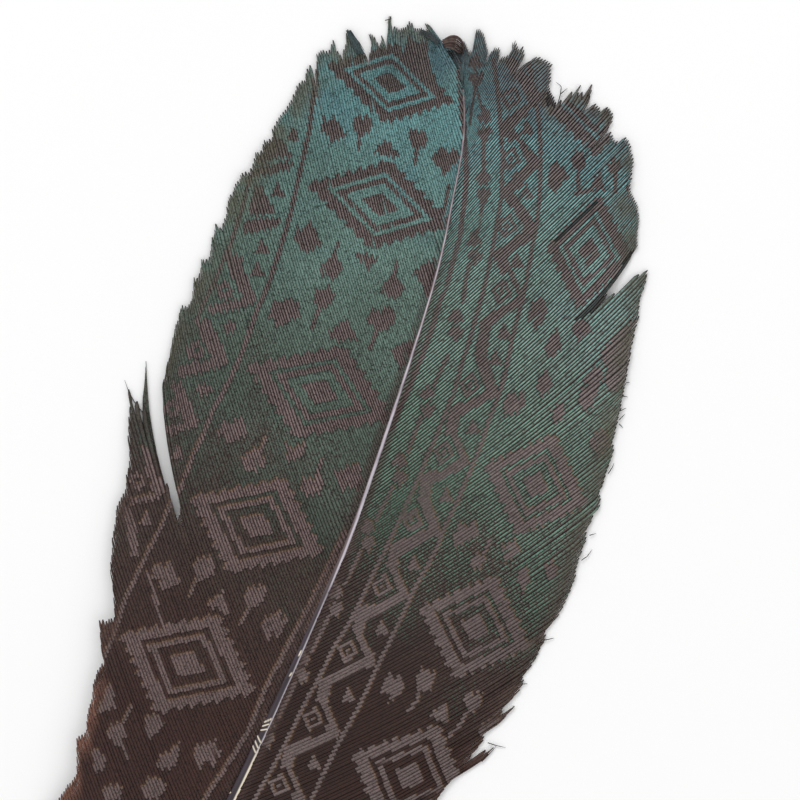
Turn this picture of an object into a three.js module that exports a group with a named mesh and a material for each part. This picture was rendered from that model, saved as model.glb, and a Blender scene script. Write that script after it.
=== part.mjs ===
// A turkey tail feather lying on a flat surface, glossy side up.
// Millimetres: +Y runs from the lower end of the quill to the tip, +X towards the right vane, +Z up.
// The quill's underside and the vanes' outer edges lie on z = 0, and the shaft arches a little between.
import * as THREE from "three";
import { mergeVertices } from "three/addons/utils/BufferGeometryUtils.js";

const { degToRad, lerp, smoothstep } = THREE.MathUtils;

// Shaft: its centreline from above, and how its round section tapers along it.
const SHAFT_LINE = [
  [0, 0],
  [6.6, 50],
  [11.8, 100],
  [15.2, 150],
  [16.5, 200],
  [16.4, 233],
  [15.5, 250],
  [11.9, 281],
  [8.8, 296],
  [5.8, 306.6],
  [0.5, 316.5],
];
const SHAFT_RADIUS = [
  [0, 1.0],
  [2, 1.7],
  [6, 2.15],
  [45, 2.2],
  [75, 2.0],
  [104, 1.7],
  [150, 1.25],
  [200, 0.85],
  [233, 0.6],
  [250, 0.48],
  [281, 0.3],
  [314, 0.2],
];
const SHAFT_SIDES = 12;
const SHAFT_STEP = 6; // between rings, past the blunt lower end
const SHAFT_END = 314; // the thin end that still stands out from the barbs
const ARCH_HEIGHT = 4.0;
const ARCH_RISE = [45, 190]; // stations over which the shaft climbs to its highest part
const ARCH_FALL = [215, 318]; // and over which it comes down again
const ARCH_AT_TIP = 0.8;

// Barbs leave the shaft at an angle that closes towards the tip, and bend forward as they go out.
const BEND_REACH = 40; // length of barb over which the bend below is made
const LEFT_BARBS = {
  side: -1,
  angle: [
    [50, 62],
    [100, 52],
    [200, 50],
    [235, 46],
    [265, 38],
    [290, 31],
    [306, 25],
    [318, 20],
  ],
  bend: [
    [200, 5],
    [250, 6],
    [290, 8],
    [318, 6],
  ],
};
const RIGHT_BARBS = {
  side: 1,
  angle: [
    [50, 62],
    [100, 50],
    [200, 44],
    [235, 38],
    [265, 33],
    [290, 31],
    [306, 27],
    [318, 24],
  ],
  bend: [
    [200, 10],
    [250, 8],
    [290, 2],
    [318, 0],
  ],
};

// Vane outlines: [station of the barb's root, length of the barb, how far its end drifts forward].
// The left vane is split above station 212, and the barbs beside the split lean over it.
const DRIFT_START = 30; // length of barb that stays straight
const DRIFT_REACH = 27; // and the length beyond it over which it drifts
const LEFT_EDGE = [
  [104, 14],
  [110, 18],
  [120, 22],
  [135, 26],
  [150, 29],
  [160, 31.5],
  [168, 32],
  [174, 30.5],
  [178.5, 32.5],
  [183.5, 36],
  [187.5, 37],
  [189, 40.5],
  [192, 37.5],
  [195, 43],
  [200, 46.5],
  [206, 50],
  [208, 54],
  [209.6, 58.5, 0.2],
  [210.2, 52.5, 0.8],
  [210.8, 52, 1.4],
  [211.4, 56.5, 2.4],
  [212.2, 35],
  [213, 37],
  [213.7, 41.5],
  [215, 46.5],
  [216.5, 50],
  [220, 52.5],
  [225.5, 55],
  [231, 55],
  [240, 56.5],
  [249.5, 53],
  [260, 51.5],
  [268, 51.5],
  [275.5, 48],
  [281.5, 41.5],
  [286, 36],
  [292, 33.5],
  [298, 27],
  [305, 19.5],
  [312, 13.5],
  [316, 7],
];
const RIGHT_EDGE = [
  [104, 14],
  [110, 19],
  [120, 24],
  [135, 30],
  [150, 36],
  [165, 41],
  [176, 43.5],
  [181.5, 44],
  [183, 47],
  [187, 48.5],
  [191, 49.5],
  [193.5, 53],
  [200.5, 53.5],
  [205, 56],
  [218, 56.5],
  [225, 56],
  [234.5, 54.5],
  [241.5, 55],
  [245.5, 57],
  [249.2, 57],
  [249.6, 51.5],
  [250, 47.5],
  [252, 51],
  [253.5, 53],
  [261, 51],
  [271.5, 45.5],
  [278.5, 41],
  [283, 38],
  [289.5, 33.5],
  [291.5, 31.5],
  [293, 26],
  [301, 22],
  [305, 17.5],
  [310, 11.5],
  [315.5, 8],
];
// The unbroken reach of the barbs, which the vane's camber follows whatever is split or worn away.
const FULL_REACH = [
  [50, 16],
  [104, 16],
  [135, 28],
  [168, 40],
  [200, 53],
  [215, 57],
  [245, 57],
  [268, 52],
  [290, 34],
  [305, 19.5],
  [318, 8],
];
const VANE_COLUMNS = 8;
const VANE_THICKNESS_ROOT = 0.9;
const VANE_THICKNESS_EDGE = 0.5;

// Down: a puff of loose barbs on each side of the shaft, below the vanes.
const LEFT_DOWN_EDGE = [
  [60, 5],
  [64, 12],
  [70, 17],
  [80, 20],
  [90, 20],
  [98, 18],
  [103, 14],
];
const RIGHT_DOWN_EDGE = [
  [60, 5],
  [64, 13],
  [70, 18],
  [80, 21],
  [90, 21],
  [98, 19],
  [103, 15],
];
const DOWN_COLUMNS = 6;
const DOWN_THICKNESS_ROOT = 3.6;
const DOWN_THICKNESS_EDGE = 2.0;

const GAP = 0.3; // between the shaft and what grows from it

// A hand-drawn curve of [place, value] points, read at a place between them.
function valueAt(points, place) {
  const last = points.length - 1;
  if (place <= points[0][0]) return points[0][1];
  if (place >= points[last][0]) return points[last][1];
  const next = points.findIndex((point) => point[0] > place);
  const [from, low] = points[next - 1];
  const [to, high] = points[next];
  return lerp(low, high, (place - from) / (to - from));
}

const shaftCurve = new THREE.CatmullRomCurve3(
  SHAFT_LINE.map(([x, y]) => new THREE.Vector3(x, y, 0)),
  false,
  "catmullrom",
  0.5,
);
const shaftLength = shaftCurve.getLength();

const shaftPoint = (station) => shaftCurve.getPointAt(station / shaftLength);

// Angle of the shaft away from +Y, positive towards +X.
function shaftHeading(station) {
  const tangent = shaftCurve.getTangentAt(station / shaftLength);
  return Math.atan2(tangent.x, tangent.y);
}

// Height of the shaft's centre: a flat of its section lies on z = 0 where it isn't arched.
function shaftHeight(station) {
  const rest = valueAt(SHAFT_RADIUS, station) * Math.cos(Math.PI / SHAFT_SIDES);
  const rise = ARCH_HEIGHT * smoothstep(station, ...ARCH_RISE);
  const fall = (ARCH_HEIGHT - ARCH_AT_TIP) * smoothstep(station, ...ARCH_FALL);
  return rest + rise - fall;
}

// The point a given way along the barb that grows at a station, moved forward by its drift there.
function barbPoint(barbs, station, along, drift) {
  const turn = (valueAt(barbs.bend, station) * along) / BEND_REACH / 2;
  const angle = degToRad(valueAt(barbs.angle, station) - turn);
  const heading = shaftHeading(station) + barbs.side * angle;
  const point = shaftPoint(station);
  point.x += along * Math.sin(heading) - barbs.side * drift * Math.cos(heading);
  point.y += along * Math.cos(heading) + barbs.side * drift * Math.sin(heading);
  return point;
}

// Length of barb that lies inside the shaft and the gap beside it.
function barbStart(barbs, station) {
  const clear = valueAt(SHAFT_RADIUS, station) + GAP;
  return clear / Math.sin(degToRad(valueAt(barbs.angle, station)));
}

// Moves every vertex of a unit box or cylinder to its place, and keeps the positions alone.
function reshaped(geometry, place) {
  geometry.deleteAttribute("normal");
  geometry.deleteAttribute("uv");
  const position = geometry.getAttribute("position");
  const corner = new THREE.Vector3();
  for (let i = 0; i < position.count; i += 1) {
    corner.fromBufferAttribute(position, i);
    position.setXYZ(i, ...place(corner).toArray());
  }
  const merged = mergeVertices(geometry, 1e-3);
  merged.computeVertexNormals();
  return merged;
}

function quillGeometry() {
  const rings = [0, 0.8, 2, 4];
  for (let station = SHAFT_STEP; station < SHAFT_END; station += SHAFT_STEP) {
    rings.push(station);
  }
  rings.push(SHAFT_END);
  const steps = rings.length - 1;
  const tube = new THREE.CylinderGeometry(1, 1, 1, SHAFT_SIDES, steps);
  // Turned by half a side, so that one flat of the section faces straight down.
  tube.rotateY(Math.PI / SHAFT_SIDES);
  return reshaped(tube, (corner) => {
    const station = rings[Math.round((corner.y + 0.5) * steps)];
    const heading = shaftHeading(station);
    const radius = valueAt(SHAFT_RADIUS, station);
    const point = shaftPoint(station);
    point.x += corner.x * radius * Math.cos(heading);
    point.y -= corner.x * radius * Math.sin(heading);
    point.z = shaftHeight(station) + corner.z * radius;
    return point;
  });
}

// A web of barbs: rows follow the barbs of an outline, columns run along the feather.
function webGeometry(barbs, edge, columns, heights) {
  const rows = edge.length - 1;
  const slab = new THREE.BoxGeometry(1, 1, 1, columns, rows, 1);
  return reshaped(slab, (corner) => {
    const out = barbs.side > 0 ? corner.x + 0.5 : 0.5 - corner.x;
    const [station, length, endDrift = 0] = edge[Math.round((corner.y + 0.5) * rows)];
    const along = lerp(barbStart(barbs, station), length, out);
    const loose = Math.max(0, along - DRIFT_START) / DRIFT_REACH;
    const point = barbPoint(barbs, station, along, endDrift * loose * loose);
    const { bottom, top } = heights(station, along, out);
    point.z = corner.z > 0 ? top : bottom;
    return point;
  });
}

// A vane droops from the shaft's height to the surface at the ends of its longest barbs.
function vaneHeights(station, along, out) {
  const thickness = lerp(VANE_THICKNESS_ROOT, VANE_THICKNESS_EDGE, out);
  const root = shaftHeight(station) - VANE_THICKNESS_ROOT / 2;
  const reach = Math.min(along / valueAt(FULL_REACH, station), 1);
  const bottom = Math.max(root, 0) * (1 - reach * reach);
  return { bottom, top: bottom + thickness };
}

// Down lies on the surface and is deepest against the shaft.
function downHeights(station, along, out) {
  return { bottom: 0, top: lerp(DOWN_THICKNESS_ROOT, DOWN_THICKNESS_EDGE, out * out) };
}

function part(name, geometry, color, roughness) {
  const material = new THREE.MeshStandardMaterial({ color, roughness, metalness: 0 });
  const mesh = new THREE.Mesh(geometry, material);
  mesh.name = name;
  return mesh;
}

const quill = part("quill", quillGeometry(), 0xb9aa9c, 0.35);

const leftVane = part(
  "left_vane",
  webGeometry(LEFT_BARBS, LEFT_EDGE, VANE_COLUMNS, vaneHeights),
  0x35504a,
  0.45,
);

const rightVane = part(
  "right_vane",
  webGeometry(RIGHT_BARBS, RIGHT_EDGE, VANE_COLUMNS, vaneHeights),
  0x3c5a50,
  0.45,
);

const leftDown = part(
  "left_down",
  webGeometry(LEFT_BARBS, LEFT_DOWN_EDGE, DOWN_COLUMNS, downHeights),
  0x8d8279,
  0.9,
);

const rightDown = part(
  "right_down",
  webGeometry(RIGHT_BARBS, RIGHT_DOWN_EDGE, DOWN_COLUMNS, downHeights),
  0x8d8279,
  0.9,
);

// The feather is moved so that the origin is at the middle of the area it lies on.
const feather = new THREE.Group();
feather.add(quill, leftVane, rightVane, leftDown, rightDown);
const middle = new THREE.Box3().setFromObject(feather).getCenter(new THREE.Vector3());
feather.position.set(-middle.x, -middle.y, 0);

export default feather;
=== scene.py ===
# A turkey tail feather, barb by barb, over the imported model.
# Feather places are in millimetres from the lower end of the quill: +Y to the tip, +X to the right
# vane, +Z up. Places read off the photograph are in its pixels. Meshes are made in metres.
import math

import bpy
import numpy as np
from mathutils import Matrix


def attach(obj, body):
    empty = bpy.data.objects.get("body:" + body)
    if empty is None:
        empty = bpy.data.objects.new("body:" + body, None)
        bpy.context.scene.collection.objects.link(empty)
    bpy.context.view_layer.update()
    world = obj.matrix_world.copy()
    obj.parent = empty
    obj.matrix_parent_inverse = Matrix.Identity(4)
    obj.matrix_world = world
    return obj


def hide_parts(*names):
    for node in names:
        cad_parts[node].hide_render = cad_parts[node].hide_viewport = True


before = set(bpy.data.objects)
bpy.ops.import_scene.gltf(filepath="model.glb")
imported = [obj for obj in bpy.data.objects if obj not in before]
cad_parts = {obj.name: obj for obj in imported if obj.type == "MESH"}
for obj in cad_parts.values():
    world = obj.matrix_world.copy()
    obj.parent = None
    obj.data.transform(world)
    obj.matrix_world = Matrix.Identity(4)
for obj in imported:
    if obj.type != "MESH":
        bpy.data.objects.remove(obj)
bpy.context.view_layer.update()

MM = 0.001
RANDOM = np.random.default_rng(7)

# ---------------------------------------------------------------- places

# Shaft line, taper and arch, barb angles and bends: the same numbers as the CAD.
SHAFT_LINE = [
    (0, 0), (6.6, 50), (11.8, 100), (15.2, 150), (16.5, 200), (16.4, 233), (15.5, 250),
    (11.9, 281), (8.8, 296), (5.8, 306.6), (0.5, 316.5),
]
SHAFT_RADIUS = [
    (0, 1.0), (2, 1.7), (6, 2.15), (45, 2.2), (75, 2.0), (104, 1.7), (150, 1.25), (200, 0.85),
    (233, 0.6), (250, 0.48), (281, 0.3), (314, 0.2),
]
SHAFT_SIDES = 12  # of the CAD
SHAFT_END = 314
HEADING_STEP = 1.5
ARCH_HEIGHT = 4.0
ARCH_RISE = (45, 190)
ARCH_FALL = (215, 318)
ARCH_AT_TIP = 0.8
BEND_REACH = 40  # distance over which a barb turns by its bend
LEFT, RIGHT = -1, 1
BARB_ANGLE = {
    LEFT: [(50, 62), (100, 52), (200, 50), (235, 46), (265, 38), (290, 31), (306, 25), (318, 20)],
    RIGHT: [(50, 62), (100, 50), (200, 44), (235, 38), (265, 33), (290, 31), (303, 28), (310, 20),
            (318, 2)],
}
BARB_BEND = {
    LEFT: [(200, 5), (250, 6), (290, 8), (318, 6)],
    RIGHT: [(200, 10), (250, 8), (290, 2), (318, 0)],
}
# How far from the shaft the vane comes down to the floor, as (station, distance).
FULL_REACH = [
    (50, 16), (104, 16), (135, 28), (168, 40), (200, 53), (215, 57), (245, 57), (268, 52),
    (290, 34), (305, 19.5), (318, 8),
]
ROOT_THICKNESS = 0.9
EDGE_THICKNESS = 0.5

# Photograph: a pixel is 0.15 mm, and the feather leans 24.8 degrees to the right in it.
PIXEL = 0.15
LEAN = math.radians(24.8)
ORIGIN_PX = (-428.0, 1965.0)  # where the lower end of the quill would be
PHOTO_SIZE = 800


def table(rows, place):
    """Values at places, between the rows of a table of (place, value)."""
    places, values = zip(*rows)
    return np.interp(place, places, values)


def smoothstep(value, low, high):
    t = np.clip((np.asarray(value, float) - low) / (high - low), 0, 1)
    return t * t * (3 - 2 * t)


def from_photo(points):
    """Feather millimetres of pixels of the photograph."""
    points = np.asarray(points, float)
    right = (points[..., 0] - ORIGIN_PX[0]) * PIXEL
    up = (ORIGIN_PX[1] - points[..., 1]) * PIXEL
    x = right * math.cos(LEAN) - up * math.sin(LEAN)
    y = right * math.sin(LEAN) + up * math.cos(LEAN)
    return np.stack([x, y], axis=-1)


def to_photo(points):
    """Pixels of the photograph at feather millimetres."""
    right = points[..., 0] * math.cos(LEAN) + points[..., 1] * math.sin(LEAN)
    up = -points[..., 0] * math.sin(LEAN) + points[..., 1] * math.cos(LEAN)
    return np.stack([ORIGIN_PX[0] + right / PIXEL, ORIGIN_PX[1] - up / PIXEL], axis=-1)


def spline(knots, steps=40):
    """Points on the smooth curve through the knots, as three.js draws it."""
    knots = [np.array(knot, float) for knot in knots]
    knots = [2 * knots[0] - knots[1]] + knots + [2 * knots[-1] - knots[-2]]
    t = np.linspace(0, 1, steps, endpoint=False)[:, None]
    spans = []
    for before, start, end, after in zip(knots, knots[1:], knots[2:], knots[3:]):
        spans.append(0.5 * (
            2 * start + (end - before) * t
            + (2 * before - 5 * start + 4 * end - after) * t ** 2
            + (3 * start - before - 3 * end + after) * t ** 3
        ))
    return np.concatenate(spans + [knots[-2][None]])


SHAFT_POINTS = spline(SHAFT_LINE)
SHAFT_STATIONS = np.concatenate(
    [[0], np.cumsum(np.hypot(*np.diff(SHAFT_POINTS, axis=0).T))])


def shaft_point(station):
    """Place of a station: a distance along the shaft from its lower end."""
    x = np.interp(station, SHAFT_STATIONS, SHAFT_POINTS[:, 0])
    y = np.interp(station, SHAFT_STATIONS, SHAFT_POINTS[:, 1])
    return np.stack([x, y], axis=-1)


def shaft_heading(station):
    """Angle of the shaft from +Y towards +X."""
    ahead = shaft_point(np.asarray(station, float) + HEADING_STEP)
    behind = shaft_point(np.asarray(station, float) - HEADING_STEP)
    step = ahead - behind
    return np.arctan2(step[..., 0], step[..., 1])


def shaft_height(station):
    """Height of the shaft's middle over the floor."""
    rest = table(SHAFT_RADIUS, station) * math.cos(math.pi / SHAFT_SIDES)
    rise = ARCH_HEIGHT * smoothstep(station, *ARCH_RISE)
    fall = (ARCH_HEIGHT - ARCH_AT_TIP) * smoothstep(station, *ARCH_FALL)
    return rest + rise - fall


# The model is centred on its box and stands on the floor.
SHIFT = np.array([12.8367, 160.4770])


def metres(points, heights):
    """Mesh coordinates of feather millimetres."""
    flat = np.asarray(points, float) - SHIFT
    return np.concatenate([flat, np.asarray(heights, float)[..., None]], axis=-1) * MM


def barb_points(side, station, along, drift):
    """Points along barbs. The arguments are arrays of one shape."""
    turn = table(BARB_BEND[side], station) * along / BEND_REACH / 2
    angle = table(BARB_ANGLE[side], station)
    chord = shaft_heading(station) + side * np.radians(angle - turn)
    point = shaft_point(station)
    x = point[..., 0] + along * np.sin(chord) - side * drift * np.cos(chord)
    y = point[..., 1] + along * np.cos(chord) + side * drift * np.sin(chord)
    return np.stack([x, y], axis=-1)


def vane_bottom(station, along):
    """Height of the vane's underside, which arches down from the shaft to the floor."""
    root = np.maximum(shaft_height(station) - ROOT_THICKNESS / 2, 0)
    reach = np.minimum(along / table(FULL_REACH, station), 1)
    return root * (1 - reach * reach)


# ---------------------------------------------------------------- outline, in pixels

# Down the left side from the tip: the edge of the vane to the bottom of the split.
LEFT_VANE_EDGE = [
    (468, 50), (464, 41), (450, 35), (444, 39), (440, 37), (433, 22), (427, 19), (430, 25),
    (429, 30), (420, 27), (415, 28), (409, 20), (404, 26), (396, 29), (390, 27), (387, 17),
    (384, 17), (383, 38), (380, 45), (378, 43), (374, 35), (368, 31), (370, 50), (367, 53),
    (363, 49), (350, 30), (345, 29), (344, 45), (340, 53), (337, 50), (333, 38), (328, 50),
    (323, 49), (316, 53), (313, 70), (310, 65), (306, 68), (304, 80), (297, 82), (295, 88),
    (288, 105), (278, 117), (272, 127), (271, 138), (262, 141), (260, 151), (255, 152),
    (249, 171), (242, 172), (235, 183), (226, 203), (225, 216), (220, 227), (216, 223),
    (210, 238), (208, 250), (206, 260), (199, 259), (198, 270), (196, 279), (192, 278),
    (190, 300), (184, 308), (180, 306), (175, 318), (172, 330), (170, 340), (167, 357),
    (162, 375), (161, 392), (160.6, 407), (162.5, 425), (166, 447), (168, 465), (173, 484),
    (178, 501), (179, 512), (178, 517),
]
# Up the other side of the split, over its two spikes, and down the left lobe.
LEFT_LOBE_EDGE = [
    (174, 514), (171, 504), (170, 499), (163, 479), (160, 464), (157, 450), (154, 438),
    (152, 422), (150, 410), (149, 394), (144.6, 361), (142, 382), (141.5, 410), (129, 398),
    (123, 380), (127, 402), (125.5, 419), (125, 437), (127, 447), (127, 459), (124, 479),
    (123.6, 490), (117, 501), (113, 514), (112, 527), (110, 534), (110, 552), (108, 569),
    (110, 584), (112, 603), (112, 620), (104, 622), (97, 621), (98, 635), (100, 641),
    (99, 650), (102, 662), (96, 670), (90.6, 683), (90, 699), (85.5, 712), (84, 734),
    (76.5, 737), (74.6, 740), (74.6, 773), (61, 779), (57, 789), (52, 800), (20, 860),
]
# Down the right side from the tip.
RIGHT_VANE_EDGE = [
    (468, 50), (472, 50), (474, 31), (480, 28), (485, 33), (489, 48), (492, 52), (495, 47),
    (501, 46), (500, 55), (509, 54), (513, 41), (516, 39), (520, 51), (524, 46), (527, 59),
    (530, 52), (540, 55), (550, 61), (550, 88), (556, 99), (558, 105), (578, 90), (586, 81),
    (580, 98), (590, 91), (595, 87), (597, 89), (594, 97), (597, 104), (602, 111), (605, 102),
    (612, 110), (615, 118), (611, 128), (614, 140), (619, 141), (624, 135), (630, 141),
    (634, 160), (632, 180), (631, 190), (639, 205), (640, 220), (637, 247), (632, 256),
    (626, 269), (614, 282), (607, 294), (608, 299), (623, 288), (642, 271), (650, 259),
    (647, 273), (649, 277), (647, 288), (643, 297), (641, 319), (637, 338), (634, 352),
    (629, 376), (626, 394), (622, 418), (616, 441), (615, 455), (608, 477), (602, 495),
    (602, 505), (597, 513), (594, 522), (589, 534), (587, 546), (581, 561), (577, 579),
    (570, 600), (562, 615), (547, 634), (547, 642), (538, 661), (525, 679), (525, 687),
    (518, 698), (499, 716), (510, 713), (520, 709), (507, 720), (493, 729), (485, 738),
    (485, 744), (471, 761), (480, 756), (492, 752), (497, 747), (494, 754), (488, 761),
    (481, 766), (462, 777), (456, 781), (439, 799), (400, 850),
]
# Round the whole vane. Below the picture the corners only close it, far from any barb seen.
OUTLINE = LEFT_VANE_EDGE + LEFT_LOBE_EDGE + [(20, 1100), (400, 1100)] + RIGHT_VANE_EDGE[:0:-1]

# Barb lengths below the picture, the same as the CAD, as (station, length).
UNSEEN_LENGTH = {
    LEFT: [(104, 14), (110, 18), (120, 22), (135, 26), (150, 29), (160, 31.5), (168, 32),
           (174, 30.5)],
    RIGHT: [(104, 14), (110, 19), (120, 24), (135, 30), (150, 36), (165, 41), (176, 43.5),
            (181.5, 44)],
}
# How far the ends of the barbs beside the two splits lean forward, as (station, drift).
SPLIT_STATION = {LEFT: 211.8, RIGHT: 249.5}
DRIFT = {
    LEFT: [(208, 0), (209.6, 0.2), (210.2, 0.8), (210.8, 1.4), (211.75, 2.6), (211.85, 4.1),
           (214, 3.4), (216, 2.8), (218, 2.2), (222, 1.2), (228, 0.4), (235, 0)],
    RIGHT: [(249.45, 0), (249.55, 3.2), (252, 2.9), (256, 2.3), (262, 1.5), (270, 0.6),
            (280, 0)],
}
DRIFT_START = {LEFT: 30, RIGHT: 42}
DRIFT_REACH = {LEFT: 27, RIGHT: 18}


def inside(points, outline):
    """Which points lie inside a closed outline."""
    x, y = points[..., 0], points[..., 1]
    found = np.zeros(x.shape, bool)
    for (x0, y0), (x1, y1) in zip(outline, outline[1:] + outline[:1]):
        if y0 == y1:
            continue
        crosses = (y0 > y) != (y1 > y)
        found ^= crosses & (x < x0 + (y - y0) * (x1 - x0) / (y1 - y0))
    return found


def drift_at(side, station, along):
    """How far barbs beside a split lean forward at a distance from the shaft."""
    loose = np.maximum(along - DRIFT_START[side], 0) / DRIFT_REACH[side]
    return table(DRIFT[side], station) * loose * loose


# ---------------------------------------------------------------- etched pattern, in pixels

# Large diamonds: centre, half of one axis, half of the other.
DIAMONDS = [
    ((390, 82), (63, 19.5), (-3, 40)),
    ((380, 204), (71, 21), (-7, 43.5)),
    ((320, 392), (71, 27.5), (-21, 45.5)),
    ((257, 525), (64, 28.5), (-25, 47)),
    ((188, 663), (65, 30), (-28, 49)),
    ((592, 94), (51, -4), (7, 61)),
    ((590, 252), (42, 7), (-9.3, 56.4)),
    ((536, 485), (50, 21), (-16.5, 50)),
    ((475, 627), (54, 21.4), (-18, 51)),
    ((410, 776), (56, 24), (-26, 51)),
]
BLOCK_LEVEL = 0.27
RING_LEVELS = (0.49, 0.63)
BAND_LEVEL = 0.74
STAIRS = 7  # steps and teeth along one side of a diamond
TOOTH = 0.14

# Long lines down the feather, each with its half width.
LINES = [
    (2.4, [(315, 62), (314, 90), (309, 130), (300, 170), (291, 210), (281, 245), (270, 280),
           (257, 310), (243, 350), (230, 380), (213, 410), (203, 435), (193, 455), (184, 480),
           (178, 494), (170, 505), (160, 528), (150, 548), (137, 575), (126, 598), (118, 622),
           (108, 648), (102, 662)]),
    (1.9, [(251, 172), (243, 203), (232, 238), (217, 275), (204, 302), (196, 322)]),
    (2.0, [(449, 185), (445, 205), (440, 228)]),
    (2.6, [(345, 532), (330, 563), (312, 600), (290, 641), (266, 687), (250, 728), (230, 760),
           (208, 793), (204, 801)]),
    (2.5, [(459, 62), (461, 100), (466, 150), (467, 180), (464, 208), (460, 237), (453, 262),
           (447, 285), (440, 303), (430, 335), (421, 360), (411, 385), (402, 405), (392, 428)]),
    (2.6, [(352, 535), (337, 563), (322, 597), (306, 632)]),
    (2.15, [(494, 58), (499, 95), (501, 120), (503, 155), (502, 195), (499, 215), (494, 240),
           (490, 265), (484, 290), (477, 315), (470, 340), (462, 365), (455, 390), (447, 410),
           (438, 432), (428, 455), (418, 480), (406, 505), (397, 525), (385, 550), (372, 576),
           (361, 600), (348, 625), (334, 647), (322, 672), (308, 697), (297, 720), (286, 742),
           (275, 763), (256, 796), (250, 808)]),
    (2.15, [(529, 60), (533, 80), (538, 103), (541, 140), (541, 180), (538, 220), (532, 250),
           (528, 275), (522, 303), (516, 325), (511, 348), (505, 375), (498, 400), (489, 420),
           (483, 440), (475, 460), (467, 478), (458, 500), (447, 522), (438, 545), (428, 565),
           (416, 585), (405, 610), (395, 630), (385, 650), (372, 678), (362, 700), (350, 722),
           (338, 743), (327, 765), (318, 785), (308, 806)]),
    (1.3, [(482, 72), (476, 86), (472, 108), (470, 124)]),
    (1.4, [(455, 50), (459, 71), (462, 98), (466, 127), (465, 137)]),
    (1.3, [(476, 84), (480, 100), (484, 112)]),
]
# The band that zigzags between the two lines of the right vane.
ZIGZAG_HALF = 5.9
ZIGZAG_TOOTH = 3.4
ZIGZAG_PITCH = 6.5
ZIGZAG_WAY = (0.5, 0.87)
ZIGZAG = [
    (512, 62), (536, 96), (506, 128), (535, 163), (507, 192), (533, 229), (500, 256), (519, 300),
    (486, 324), (481, 356), (492, 392), (455, 412), (451, 434), (463, 462), (427, 480),
    (424, 500), (435, 530), (396, 549), (391, 568), (403, 595), (362, 614), (357, 636),
    (370, 660), (326, 681), (322, 702), (334, 733), (290, 750), (286, 770), (302, 803),
]
# Small ring diamonds beside it, with the directions of their axes.
RINGS = [
    (512, 97), (511, 158), (507, 226), (502, 292), (470, 385), (444, 453), (412, 520),
    (382, 586), (348, 650), (313, 718), (279, 784),
]
RING_AXES = ((9.5, 3), (-3.5, 11))
RING_GAP = 1.75  # unetched margin round a ring, as a multiple of its size
RING_EDGE = 1.15
RING_HOLE = (0.32, 0.62)
# Small triangles in the band's pockets.
POCKETS = [
    (528, 128), (527, 193), (517, 262), (504, 333), (496, 359), (473, 428), (446, 496),
    (414, 564), (382, 628), (349, 695), (314, 762), (293, 134), (277, 190), (262, 247),
    (257, 270), (146, 519), (178, 453),
]
POCKET = [(-7.5, 6), (-0.5, -9), (0.5, -9), (7.5, 6)]
# Beads on the stem between the shaft and the first line: pairs of rounded arrowheads.
BEADS = [
    (476, 70), (485, 124), (484, 186), (475, 248), (456, 325), (428, 402), (400, 469),
    (368, 535), (336, 600), (303, 666), (268, 730),
]
BEAD_SIZE = (9, 18)
BEAD_GAP = 0.09
BEAD_ROUND = 0.3
STEMS = [
    [(484, 140), (484, 170)], [(483, 203), (478, 232)], [(469, 264), (463, 302)],
    [(448, 356), (434, 386)], [(421, 418), (408, 452)], [(393, 487), (376, 520)],
    [(361, 551), (345, 584)], [(329, 616), (312, 651)], [(296, 681), (279, 716)],
    [(360, 131), (358, 148)], [(417, 146), (415, 163)], [(339, 243), (332, 260)],
    [(320, 305), (312, 328)], [(397, 262), (393, 280)], [(378, 327), (370, 349)],
    [(266, 437), (260, 453)], [(322, 459), (317, 476)], [(197, 579), (190, 595)],
    [(251, 605), (241, 623)], [(122, 724), (132, 705)], [(121, 738), (129, 757)],
    [(419, 689), (417, 700), (408, 711)], [(466, 713), (461, 724), (449, 736)],
    [(490, 540), (484, 553)], [(148, 572), (164, 628)], [(579, 172), (579, 190)],
    [(616, 178), (616, 191)], [(590, 190), (576, 194)], [(558, 341), (552, 350)],
]
STEM_HALF = 2.0
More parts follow.
